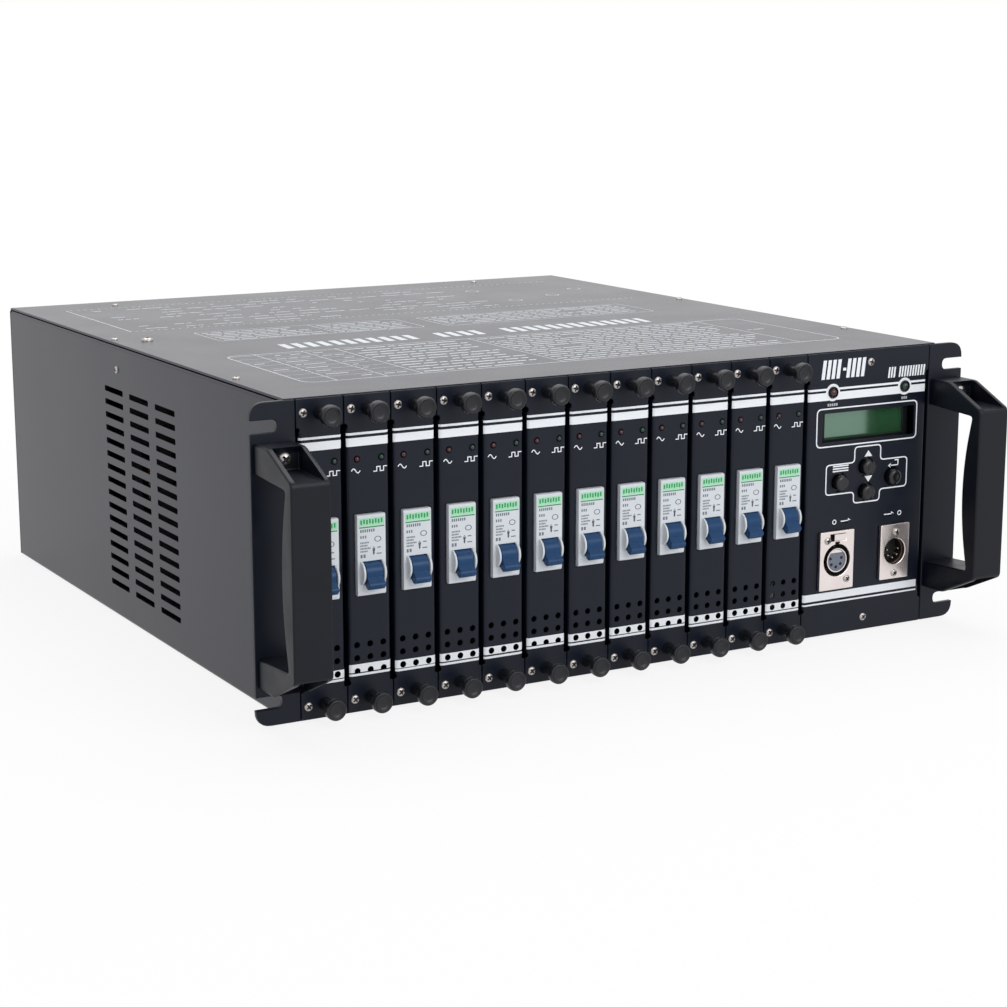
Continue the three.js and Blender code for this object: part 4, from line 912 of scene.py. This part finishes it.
# Rack ears, with two open slots each
EAR_INNER = 215.3
EAR_CORNER = 9.0
EAR_THICK = 3.0
RACK_HALF = 241.3
SLOT_DROP = 13.0
SLOT_HEIGHT = 7.0
SLOT_END = RACK_HALF - 15.5
SLOT_RADII = [0.4, SLOT_HEIGHT / 2, SLOT_HEIGHT / 2, 0.4]
ANGLE_X = 219.2
ANGLE_HALF = 1.0


def ear(side):
    loop = [(EAR_INNER, PLATE_BOTTOM), (RACK_HALF, PLATE_BOTTOM)]
    for z in (PLATE_BOTTOM + SLOT_DROP, PLATE_TOP - SLOT_DROP):
        low, high = z - SLOT_HEIGHT / 2, z + SLOT_HEIGHT / 2
        loop += [(RACK_HALF, low), (SLOT_END, low), (SLOT_END, high), (RACK_HALF, high)]
    loop += [(RACK_HALF, PLATE_TOP), (EAR_INNER, PLATE_TOP)]
    radii = [0.5, EAR_CORNER] + SLOT_RADII * 2 + [EAR_CORNER, 0.5]
    plate = prism([[(side * a, b) for a, b in rounded(loop, radii, 6)]], [], 0, EAR_THICK, "y", 0.35)
    x = side * ANGLE_X
    return joined([plate, block(x - ANGLE_HALF, x + ANGLE_HALF, 2.4, 33.0, 3.5, 171.7)])


for word, side in (("left", -1), ("right", 1)):
    show(f"ear_plate_{word}", [(ear(side), plate_paint)], [f"rack_ear_{word}"])

# Handles: a bow whose grip swells, with an open screw pocket at each sloped end
HANDLE_X = 215.0 + 26.3 / 2
HANDLE_HALF = 66.4
HANDLE_REACH = 46.0
HANDLE_THICK = 11.3
HANDLE_RADII = [0, 0, 5.5, 60.0, 60.0, 5.5, 0, 0, 2.0, 3.0, 3.0, 2.0]
POCKET_HALF = 8.4
POCKET_FLOOR = -14.0
POCKET_END = -60.0


def handle_form():
    half, reach = HANDLE_HALF, HANDLE_REACH
    inner = half - 16.3
    outer = inner - 2.0
    foot, swell = 7.6 - reach, 13.9 - reach
    loop = [(0, -half), (0, -inner), (foot, -outer), (swell, -0.4 * outer), (swell, 0.4 * outer),
            (foot, outer), (0, inner), (0, half), (-17.0, half), (-reach, half - 13.5),
            (-reach, 13.5 - half), (-17.0, -half)]
    bow = prism([rounded(loop, HANDLE_RADII, 8)], [], -HANDLE_THICK, HANDLE_THICK, "x", 1.2, 3)
    web, past = inner + 3.4, half + 3.0
    for up in (1, -1):
        pocket = [(POCKET_FLOOR, up * web), (POCKET_FLOOR, up * (half - 3.0)), (-18.0, up * past),
                  (POCKET_END, up * past), (POCKET_END, up * (web - 1.5))]
        bow = cut(bow, prism([rounded(pocket, 1.2)], [], -POCKET_HALF, POCKET_HALF, "x", 1.0, 2))
    return bow


handle_mesh = build("handle", [(moved(handle_form(), 0, -GAP, MIDDLE_Z), handle_plastic)])
handle_screws = [(0, POCKET_FLOOR - 0.2, MIDDLE_Z + k * (HANDLE_HALF - 6.8)) for k in BOTH]
for word, side in (("left", -1), ("right", 1)):
    x = side * HANDLE_X
    put(f"handle_bow_{word}", handle_mesh, "case", [f"handle_{word}"], x)
    show(f"handle_screws_{word}", screws(handle_screws, large_screw), [], x)

# Rear panel, with a guard of punched rings before the fan
FAN_X = -130.0
RING_PITCH = 14.25
RING_BAR = 3.5
REAR_FRONT = 463.5
OUTLET = (35.0, MIDDLE_Z, 84.6, 36.6)
GLAND = (150.0, 60.0, 12.6)


def guard_slot(ring, spoke):
    inner = ring * RING_PITCH
    outer = inner + RING_PITCH - RING_BAR
    start = (spoke + 0.5) * QUARTER
    steps = 6 * ring
    loop = []
    for radius, order in ((outer, 1), (inner, -1)):
        trim = math.asin(RING_BAR / 2 / radius)
        loop += arc(FAN_X, MIDDLE_Z, radius, start + trim, QUARTER - 2 * trim, steps)[::order]
    return loop


rear_cuts = [guard_slot(ring, spoke) for ring in (1, 2, 3) for spoke in range(4)]
rear_cuts += [rounded(rectangle(*OUTLET), 1.0), circle(*GLAND, 40)]
rear_outline = rounded(span(-CASE_HALF, CASE_HALF, PLATE_BOTTOM, CHASSIS_TOP), 1.0)
rear = prism([rear_outline], rear_cuts, REAR_FRONT, CASE_DEPTH, "y", EDGE)
show("rear_sheet", [(rear, case_paint)], ["rear_panel"])

# Control panel, drawn with its left edge at X 0
DISPLAY = (48.2, 130.5)
DISPLAY_SIZE = (71.5, 18.0)
BUTTONS = {"up": (47.0, 104.0), "down": (47.0, 88.5), "menu": (26.5, 96.25), "escape": (67.5, 96.25)}
OUT_PLACE = (24.4, 48.1)
IN_PLACE = (69.6, 48.6)
POWER_LAMPS = {"left": (19.5, 152.3), "right": (75.0, 152.0)}
PANEL_SCREWS = [(48.0, 0, 169.0), (48.0, 0, 8.7)]
control_holes = [rounded(rectangle(*DISPLAY, *DISPLAY_SIZE), 0.8)]
control_holes += circles(BUTTONS.values(), 5.9, 32)
control_holes += [circle(*OUT_PLACE, 12.0, 40), circle(*IN_PLACE, 10.1, 40)]
control_plate = moved(folded_plate(CONTROL_WIDTH, control_holes), CONTROL_LEFT)
show("control_plate", [(control_plate, plate_paint)], ["control_panel"])

# Control panel printing
PANEL_LEFT = 1.9
PANEL_LINES = [(91.0, 154.4, 1.3), (91.0, 150.0, 4.8), (90.0, 25.4, 4.6), (90.0, 21.1, 1.0)]
THIN_STROKE = 0.7
TITLE_SLANT = 0.12
PLUS_LINE = 0.4
PLUS_RADIUS = 2.6
DISPLAY_FRAMES = [(78.1, 24.2, 3.6), (76.5, 22.6, 2.9)]
DISPLAY_MIDDLE = (46.75, 130.75)


def plus_loop(grow):
    x0, x1, x2, x3 = 16.2 - grow, 37.8 - grow, 58.0 + grow, 79.0 + grow
    z0, z1, z2, z3 = 82.0 - grow, 89.0 - grow, 107.5 + grow, 117.0 + grow
    loop = [(x1, z0), (x2, z0), (x2, z1), (x3, z1), (x3, z2), (x2, z2), (x2, z3), (x1, z3), (x1, z2),
            (x0, z2), (x0, z1), (x1, z1)]
    outward, inward = PLUS_RADIUS + grow, PLUS_RADIUS - grow
    return rounded(loop, [outward, outward, inward, outward, outward, inward] * 2, 5)


def arrow(a, b, length=8.0):
    tip, tail = a + length / 2, a - length / 2
    return [stroke([(tail, b), (tip - 1.8, b)], THIN_STROKE),
            [(tip - 2.4, b - 1.6), (tip, b), (tip - 2.4, b + 1.6)]]


panel_marks = [rectangle((PANEL_LEFT + right) / 2, z, right - PANEL_LEFT, height)
               for right, z, height in PANEL_LINES]
panel_marks += bar_row(10.4, 160.6, 9, 3.75, 2.5, 11.6, TITLE_SLANT, (4,))
panel_marks.append(rectangle(27.9, 166.0, 2.4, 1.7))
panel_marks += bar_row(61.6, 158.0, 14, 2.1, 1.25, 6.6, TITLE_SLANT, (3,))
panel_marks += [[(45.4, 110.4), (51.4, 110.4), (48.4, 114.2)], [(46.0, 98.2), (52.0, 98.2), (49.0, 94.4)]]
panel_marks += [rectangle(27.2, 104.8 + 1.55 * k, 12.0, 0.85) for k in (-1, 0, 1)]
panel_marks += [stroke([(72.0, 103.0), (65.6, 103.0)], THIN_STROKE),
                stroke([(72.0, 102.7), (72.0, 106.2), (69.4, 106.2)], THIN_STROKE),
                [(66.4, 101.5), (66.4, 104.5), (64.2, 103.0)]]
panel_marks += arrow(32.5, 71.6) + arrow(66.4, 72.2)
outer_frame, inner_frame = [rounded(rectangle(*DISPLAY_MIDDLE, width, height), corner, 6)
                            for width, height, corner in DISPLAY_FRAMES]
panel_print = joined([ink(panel_marks), ink([outer_frame], [inner_frame]),
                      ink([plus_loop(PLUS_LINE)], [plus_loop(-PLUS_LINE)]),
                      ink_ring(23.6, 71.6, 1.6, 1.0), ink_ring(74.6, 72.2, 1.6, 1.0)])
panel_print = folded(moved(panel_print, -CONTROL_WIDTH / 2), CONTROL_WIDTH)
lamp_rings = repeated(moved(ink_ring(0, 0, 5.3, 3.5, 48), 0, -0.03), POWER_LAMPS.values())
lamp_marks = ink(bar_row(15.7, 144.0, 5, 1.6, 1.1, 1.6) + bar_row(72.9, 144.0, 3, 1.6, 1.1, 1.6))
show("control_print", [(panel_print, white_ink), (lamp_rings, white_ink), (lamp_marks, dull_ink)],
     [], CONTROL_LEFT)

# Power lamps in bezels, and the panel's screws
BEZEL_PROFILE = [(2.7, -0.5), (2.9, -1.1), (3.4, -1.1), (3.6, -0.7), (3.6, 2.5), (2.7, 2.5)]
LENS_PROFILE = [(0, -2.1), (1.2, -1.9), (2.1, -1.2), (2.5, -0.5), (2.7, 0.5), (2.7, 8.0), (0, 8.0)]
bezel = lathe(BEZEL_PROFILE, "y", 40)
lens = lathe(LENS_PROFILE, "y", 32)
lamp_parts = []
for word, material in (("left", led_red), ("right", led_green)):
    x, z = POWER_LAMPS[word]
    lamp_parts += [(moved(bezel, x, 0, z), black_plastic), (moved(lens, x, 0, z), material)]
show("control_lamps", lamp_parts, [], CONTROL_LEFT)
show("control_screws", screws(PANEL_SCREWS), [], CONTROL_LEFT)

# Display: black bezel round a glass, on its board with four posts
DISPLAY_FRONT = 7.0
GLASS_WIDTH = 60.4
GLASS_HEIGHT = 16.4
GLASS_X, GLASS_Z = DISPLAY[0] + 1.6, DISPLAY[1] - 0.3
BOARD_FRONT = 12.0
BOARD_BACK = 13.6
PIN_PITCH = 2.54
PIN_START = DISPLAY[0] - 20
PIN_WIDTH = 0.6
PIN_Z = DISPLAY[1] + 12.6
corners = [(DISPLAY[0] + i * 36.95, DISPLAY[1] + k * 13.0) for i in BOTH for k in BOTH]
bezel_form = prism([rectangle(*DISPLAY, DISPLAY_SIZE[0], DISPLAY_SIZE[1] + 5.0)],
                   [rounded(rectangle(GLASS_X, GLASS_Z, GLASS_WIDTH, GLASS_HEIGHT), 0.6)],
                   DISPLAY_FRONT, DISPLAY_FRONT + 4.8, "y", BROAD_EDGE)
glass_form = prism([rectangle(GLASS_X, GLASS_Z, GLASS_WIDTH + 2, GLASS_HEIGHT + 2)], [],
                   DISPLAY_FRONT + 0.9, DISPLAY_FRONT + 2.2, "y", HAIR_EDGE)
display_board = prism([rounded(rectangle(*DISPLAY, 79.9, 32.0), 1.0)],
                      circles(corners, 1.2, 16), BOARD_FRONT, BOARD_BACK, "y", HAIR_EDGE)
post = lathe([(2.0, 1.8), (2.0, 12.1), (0.9, 12.1), (0.9, 1.8)], "y", 6)
display_posts = repeated(post, corners)
header_pins = joined([block(x, x + PIN_WIDTH, 11.4, 14.6, PIN_Z, PIN_Z + PIN_WIDTH)
                      for x in [PIN_START + PIN_PITCH * i for i in range(16)]])
show("display_unit", [
    (bezel_form, black_plastic), (glass_form, lcd_green), (display_board, board_green),
    (display_posts, steel), (header_pins, gold)], ["display_module"], CONTROL_LEFT)

# Buttons: a domed cap with a flange behind the plate and a stem
BUTTON_PROFILE = [(0, -4.2), (1.6, -4.3), (2.9, -4.5), (3.9, -4.3), (4.6, -3.6), (4.9, -2.4), (4.9, 1.8),
                  (7.1, 1.8), (7.1, 3.0), (2.0, 3.0), (2.0, 13.0), (0, 13.0)]
button_mesh = build("button_cap", [(lathe(BUTTON_PROFILE, "y", 40), button_gloss)])
for word, (x, z) in BUTTONS.items():
    put(f"button_cap_{word}", button_mesh, f"button_{word}", [f"button_{word}"],
        CONTROL_LEFT + x, z)

# Data sockets, drawn about their middle
SOCKET_FACE = -2.9
SOCKET_BACK = -0.3
BARREL_BACK = 22.0
SCREW_HOLE = 1.2
CONTACT_RADIUS = 4.4
CONTACT_SWEEP = math.radians(208)
contacts = arc(0, 0, CONTACT_RADIUS, -QUARTER - CONTACT_SWEEP / 2, CONTACT_SWEEP, 4)


def socket_plate(width, height, holes, screw_places):
    outline = rounded(rectangle(0, 0, width, height), 1.0)
    return prism([outline], holes + circles(screw_places, SCREW_HOLE), SOCKET_FACE, SOCKET_BACK, "y", 0.5, 3)


def show_in_socket(name, parts, place, nodes=(), body="case"):
    show(name, parts, nodes, CONTROL_LEFT + place[0], place[1], body)


# Output socket: a keyed groove round the insert, and a latch tab
OUT_SCREWS = [(-7.7, 12.8), (7.6, -12.4)]
LATCH_X, LATCH_Z = 2.0, 14.4
GROOVE = 10.1
BARREL_RADIUS = 11.6
KEY_HALF = 1.3
KEY_TOP = 11.5
GROOVE_FLOOR = 9.0
RIM_PROFILE = [(6.7, -2.2), (6.9, -2.7), (7.5, -2.7), (7.7, -2.3), (7.7, 9.5), (6.7, 9.5)]


def keyed_ring():
    """The groove round the insert, with its key slot at the top"""
    half = math.asin(KEY_HALF / GROOVE)
    ring = arc(0, 0, GROOVE, QUARTER + half, 2 * math.pi - 2 * half, 60)
    return ring + [(KEY_HALF, KEY_TOP), (-KEY_HALF, KEY_TOP)]


out_plate = socket_plate(26, 37, [keyed_ring(), rectangle(0.5, LATCH_Z, 12.0, 4.4)], OUT_SCREWS)
out_barrel = lathe([(GROOVE, SOCKET_BACK - 0.1), (BARREL_RADIUS, SOCKET_BACK - 0.1),
                    (BARREL_RADIUS, BARREL_BACK), (0, BARREL_BACK), (0, GROOVE_FLOOR),
                    (GROOVE, GROOVE_FLOOR)], "y", 40)
out_insert_rim = lathe(RIM_PROFILE, "y", 48)
out_insert = prism([circle(0, 0, 6.8, 40)], circles(contacts, 1.0), -1.9, 9.5, "y", HAIR_EDGE)
out_segment = prism([arc(0, 0, 6.6, QUARTER - 0.8, 1.6, 16)], [], -2.4, -1.8, "y", HAIR_EDGE)
# A thin dark sleeve over the barrel's nickel wall in the groove, as painted shade
throat_front, throat_back = SOCKET_BACK - 1.6, GROOVE_FLOOR + 0.1
out_throat = lathe([(GROOVE - 0.05, throat_front), (GROOVE - 0.05, throat_back), (9.9, throat_back),
                    (9.9, throat_front)], "y", 40)
# A thin dark sheet behind the latch opening, as painted shade in the recess beside the tab
out_backing = block(-5.7, 7.0, SOCKET_BACK - 0.3, SOCKET_BACK - 0.05, LATCH_Z - 2.7, LATCH_Z + 2.7)
show_in_socket("out_socket", [
    (out_plate, nickel), (out_barrel, nickel), (out_insert_rim, nickel), (out_insert, contact_face),
    (out_segment, nickel), (out_throat, black_and_painted_shade), (out_backing, black_and_painted_shade)], OUT_PLACE, ["dmx_out_socket"])
out_heads = screws([(x, SOCKET_FACE, z) for x, z in OUT_SCREWS], small_screw)
show_in_socket("out_socket_screws", out_heads, OUT_PLACE)

# Latch tab with seven grips
LATCH_SIZE = (9.0, 4.2)
GRIP_PITCH = 1.2
GRIP_HALF = 0.3
GRIP_REACH = 1.6
latch_form = prism([rounded(rectangle(LATCH_X, LATCH_Z, *LATCH_SIZE), 0.5)], [], -3.4, -2.1, "y", EDGE)
latch_grips = joined([block(x - GRIP_HALF, x + GRIP_HALF, -3.42, -3.2,
                            LATCH_Z - GRIP_REACH, LATCH_Z + GRIP_REACH, 0.05)
                      for x in [LATCH_X + GRIP_PITCH * i for i in range(-3, 4)]])
show_in_socket("out_latch_tab", [(latch_form, nickel), (latch_grips, nickel)], OUT_PLACE,
               ["dmx_out_latch"], "latch")

# Input socket: a cup with five pins
IN_SCREWS = [(0.6, 12.4), (-0.2, -13.8)]
CUP = 8.2
CUP_OUTER = 9.7
CUP_FLOOR = 12.1
LINER = 0.3
PIN_PROFILE = [(0, -1.1), (0.4, -1.0), (0.75, -0.3), (0.75, 12.0), (0, 12.0)]
in_plate = socket_plate(22.5, 35, [circle(0, 0, CUP, 48)], IN_SCREWS)
in_cup = lathe([(CUP, SOCKET_FACE + 0.6), (CUP_OUTER, SOCKET_BACK - 0.1), (CUP_OUTER, BARREL_BACK),
                (0, BARREL_BACK), (0, CUP_FLOOR), (CUP, CUP_FLOOR)], "y", 48)
in_floor = prism([circle(0, 0, CUP - 0.05, 40)], [], 6.0, CUP_FLOOR + 0.1, "y", HAIR_EDGE)
in_liner = lathe([(CUP, 0.2), (CUP, CUP_FLOOR), (CUP - LINER, CUP_FLOOR), (CUP - LINER, 0.2)], "y", 48)
pin = lathe(PIN_PROFILE, "y", 16)
in_pins = repeated(pin, contacts)
show_in_socket("in_socket", [
    (in_plate, nickel), (in_cup, nickel), (in_floor, black_and_painted_shade), (in_liner, brass), (in_pins, nickel)],
    IN_PLACE, ["dmx_in_socket"])
in_heads = screws([(x, SOCKET_FACE, z) for x, z in IN_SCREWS], small_screw)
show_in_socket("in_socket_screws", in_heads, IN_PLACE)

# Case screws
TOP_SCREWS = [(-214, 81), (216, 86), (-216, 270), (217, 278), (-152, 444), (143, 452)]
LARGE_TOP_SCREW = (-200, 255)
SIDE_SCREW_Y = 251.5
SIDE_SCREW_Z = 160.5
top_heads = screws([(x, y, CASE_HEIGHT) for x, y in TOP_SCREWS], small_screw, ("X", -90))
top_heads += screws([(*LARGE_TOP_SCREW, CASE_HEIGHT)], large_screw, ("X", -90))
show("cover_screws", top_heads)
side_heads = []
for side in BOTH:
    side_heads += screws([(side * CASE_HALF, SIDE_SCREW_Y, SIDE_SCREW_Z)], small_screw, ("Z", 90 * side))
show("side_screws", side_heads)

# Printing on the cover: tables and rows of plain marks in place of words
DASH_SHARES = (1.1, 1.9, 2.8, 4.2)
DASH_HEIGHT_SHARE = 0.42
SPACE_SHARE = 0.4
TABLE = (-187.5, 184.5, 46.0, 163.0)
TABLE_LINE = 0.8
COLUMN_XS = [-168.0, -137.0, -114.6, -21.8, 150.7]
COLUMN_LINE = 0.7
BOXES = [(-161.7, -17.0, 228.0, 275.0), (-2.0, 161.0, 225.0, 273.0)]
TITLE_WORDS = [(-139, 11), (-31, 4), (18, 13)]
RULE_YS = (300.0, 427.0)
DASHED_YS = (335.0, 401.0)
RING_PLACES = [(110, 330), (110, 395), (150, 345), (185, 372)]
draw = random.Random(7)


def top_ink(outers, holes=()):
    """A printed layer on the cover"""
    return moved(prism(outers, list(holes), -INK / 2, INK, "z"), 0, 0, CASE_HEIGHT)


def frame_ink(x0, x1, y0, y1, line, corner):
    outer = rounded(span(x0, x1, y0, y1), corner, 5)
    inner = rectangle((x0 + x1) / 2, (y0 + y1) / 2, x1 - x0 - 2 * line, y1 - y0 - 2 * line)
    return top_ink([outer], [rounded(inner, corner - line, 5)])


def text_row(y, height, *runs):
    """Dashes of mixed length, as a line of lettering looks; a run is its left, its right and its share"""
    marks = []
    for left, right, share in runs:
        x = left
        while x < right:
            width = height * draw.choice(DASH_SHARES)
            if draw.random() < share and x + width < right:
                marks.append(rectangle(x + width / 2, y, width, height * DASH_HEIGHT_SHARE))
            x += width + height * SPACE_SHARE
    return marks


rows = []
for i in range(8):
    y = 152.0 - i * 13.6
    rows.append(rectangle(-151.0, y + 6.2, 71.5, 0.45))
    rows += text_row(y, 3.4, (-184, -170, 0.5), (-164, -140, 0.6), (-134, -117, 0.5))
for i in range(12):
    rows += text_row(156.0 - i * 9.4, 4.6, (-111, -25, 0.98))
for i in range(15):
    rows += text_row(157.0 - i * 7.5, 3.9, (-18.5, 147, 0.99))
rows += text_row(110.0, 3.0, (156, 180, 0.7))
title = [bar for x, count in TITLE_WORDS for bar in bar_row(x, 177.0, count, 8.6, 4.9, 20.0, 0.08)]
box_rows = [rectangle(-81.0, 251.5, 0.6, 44.0)]
for i in range(6):
    box_rows += text_row(268.0 - i * 7.1, 3.9, (-158, -84, 0.96), (-78, -20, 0.96), (2, 158, 0.96))
back_rows = [rectangle(-194.0, 363.0, 0.8, 128.0)]
back_rows += [rectangle(x, y, 2.0, 1.0) for y in RULE_YS for x in range(-190, 192, 5)]
back_rows += [rectangle(x, y, 15.0, 1.4) for y in DASHED_YS for x in range(-127, 100, 19)]
for y in [310.0 + i * 13.0 for i in range(9)]:
    if min(abs(y - dashed) for dashed in DASHED_YS) > 4:
        back_rows += text_row(y, 3.6, (-180, -20, 0.55), (0, 90, 0.4))
table_lines = [rectangle(x, (TABLE[2] + TABLE[3]) / 2, COLUMN_LINE, TABLE[3] - TABLE[2] - 2 * TABLE_LINE)
               for x in COLUMN_XS]
top_parts = [frame_ink(*TABLE, TABLE_LINE, 9.0), top_ink(table_lines), top_ink(rows), top_ink(title)]
top_parts += [frame_ink(*box, 0.6, 4.0) for box in BOXES]
top_parts += [top_ink(box_rows), top_ink(back_rows)]
top_parts += [top_ink([circle(x, y, 5.0, 40)], [circle(x, y, 4.3, 40)]) for x, y in RING_PLACES]
show("cover_print", [(joined(top_parts), cover_ink)])

# Carried-over nodes get materials
CARRIED = {"control_board": board_green, "backplane": board_green, "card_guide_lower": black_plastic,
           "card_guide_upper": black_plastic, "fan_housing": black_plastic, "fan_rotor": black_plastic,
           "output_socket": zinc, "mains_gland": black_plastic}
for name, material in CARRIED.items():
    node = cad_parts[name]
    node.data.materials.clear()
    node.data.materials.append(material)


# Studio, in metres: white floor and surround, soft light from above, the front and the left
def bright_rays(tree):
    """One where a ray shows the surround, straight or in a surface, and nought where it lights the object"""
    rays = add_node(tree.nodes, "LightPath")
    value = rays.outputs["Is Camera Ray"]
    for kind in ("Is Glossy Ray", "Is Transmission Ray"):
        either = add_node(tree.nodes, "Math")
        either.operation = "MAXIMUM"
        tree.links.new(value, either.inputs[0])
        tree.links.new(rays.outputs[kind], either.inputs[1])
        value = either.outputs["Value"]
    return value


def mixed(tree, share, lit, shown, output):
    """Mixes two shaders by a share, from the one that lights to the one that is seen, into an output"""
    mix = add_node(tree.nodes, "MixShader")
    for source, place in zip((share, lit, shown), mix.inputs):
        tree.links.new(source, place)
    tree.links.new(mix.outputs["Shader"], tree.nodes[output].inputs["Surface"])


def white_surface():
    material = bpy.data.materials.new("studio_floor")
    material.use_nodes = True
    tree = material.node_tree
    shader = tree.nodes["Principled BSDF"]
    fill(shader, Base_Color=(0.9, 0.9, 0.9, 1), Roughness=0.9)
    glow = add_node(tree.nodes, "Emission", Color=(1, 1, 1, 1), Strength=1.0)
    place = add_node(tree.nodes, "NewGeometry")
    distance = add_node(tree.nodes, "VectorMath")
    distance.operation = "LENGTH"
    fade = add_node(tree.nodes, "MapRange", From_Min=0.4, From_Max=0.9, To_Min=0.86, To_Max=1.0)
    share = add_node(tree.nodes, "Math")
    share.operation = "MULTIPLY"
    tree.links.new(place.outputs["Position"], distance.inputs[0])
    tree.links.new(distance.outputs["Value"], fade.inputs["Value"])
    tree.links.new(bright_rays(tree), share.inputs[0])
    tree.links.new(fade.outputs["Result"], share.inputs[1])
    mixed(tree, share.outputs["Value"], shader.outputs["BSDF"], glow.outputs["Emission"], "Material Output")
    return material


FLOOR_WIDTH = 12
floor_data = bpy.data.meshes.new("floor")
floor_data.from_pydata([(a, b, 0) for a, b in rectangle(0, 0, FLOOR_WIDTH, FLOOR_WIDTH)], [], [(0, 1, 2, 3)])
floor_data.materials.append(white_surface())
floor = bpy.data.objects.new("floor", floor_data)
floor.location.z = -0.5 * MM
bpy.context.scene.collection.objects.link(floor)

world = bpy.data.worlds.new("studio")
bpy.context.scene.world = world
world.use_nodes = True
world_tree = world.node_tree
background = fill(world_tree.nodes["Background"], Color=(0.72, 0.76, 0.82, 1), Strength=0.55)
bright = add_node(world_tree.nodes, "Background", Color=(1, 1, 1, 1), Strength=1.0)
mixed(world_tree, bright_rays(world_tree), background.outputs["Background"],
      bright.outputs["Background"], "World Output")


def softbox(name, place, size, watts):
    lamp = bpy.data.lights.new(name, "AREA")
    lamp.shape = "RECTANGLE"
    lamp.size, lamp.size_y = size
    lamp.energy = watts
    add_holder(name, lamp, place, LIGHT_TARGET)


def add_holder(name, data, place, target):
    """An object for a lamp or a camera, turned to look at a target"""
    holder = bpy.data.objects.new(name, data)
    holder.location = place
    holder.rotation_euler = (Vector(target) - Vector(place)).to_track_quat("-Z", "Y").to_euler()
    bpy.context.scene.collection.objects.link(holder)
    return holder


LIGHT_TARGET = (0, 0, 0.1)
softbox("light_top", (0.3, 0.5, 2.2), (2.4, 1.8), 34)
softbox("light_left", (-2.2, -0.9, 1.3), (1.6, 1.4), 4)
softbox("light_front", (0.6, -2.4, 1.2), (1.6, 1.2), 22)

# Camera at the photograph's place, in metres
camera_data = bpy.data.cameras.new("camera")
camera_data.lens = 79.1
camera_data.sensor_width = 36.0
camera = add_holder("camera", camera_data, (-0.6902, -1.2819, 0.3615), (0.0254, -0.0325, 0.0593))
bpy.context.scene.camera = camera
bpy.context.scene.view_settings.view_transform = "Standard"
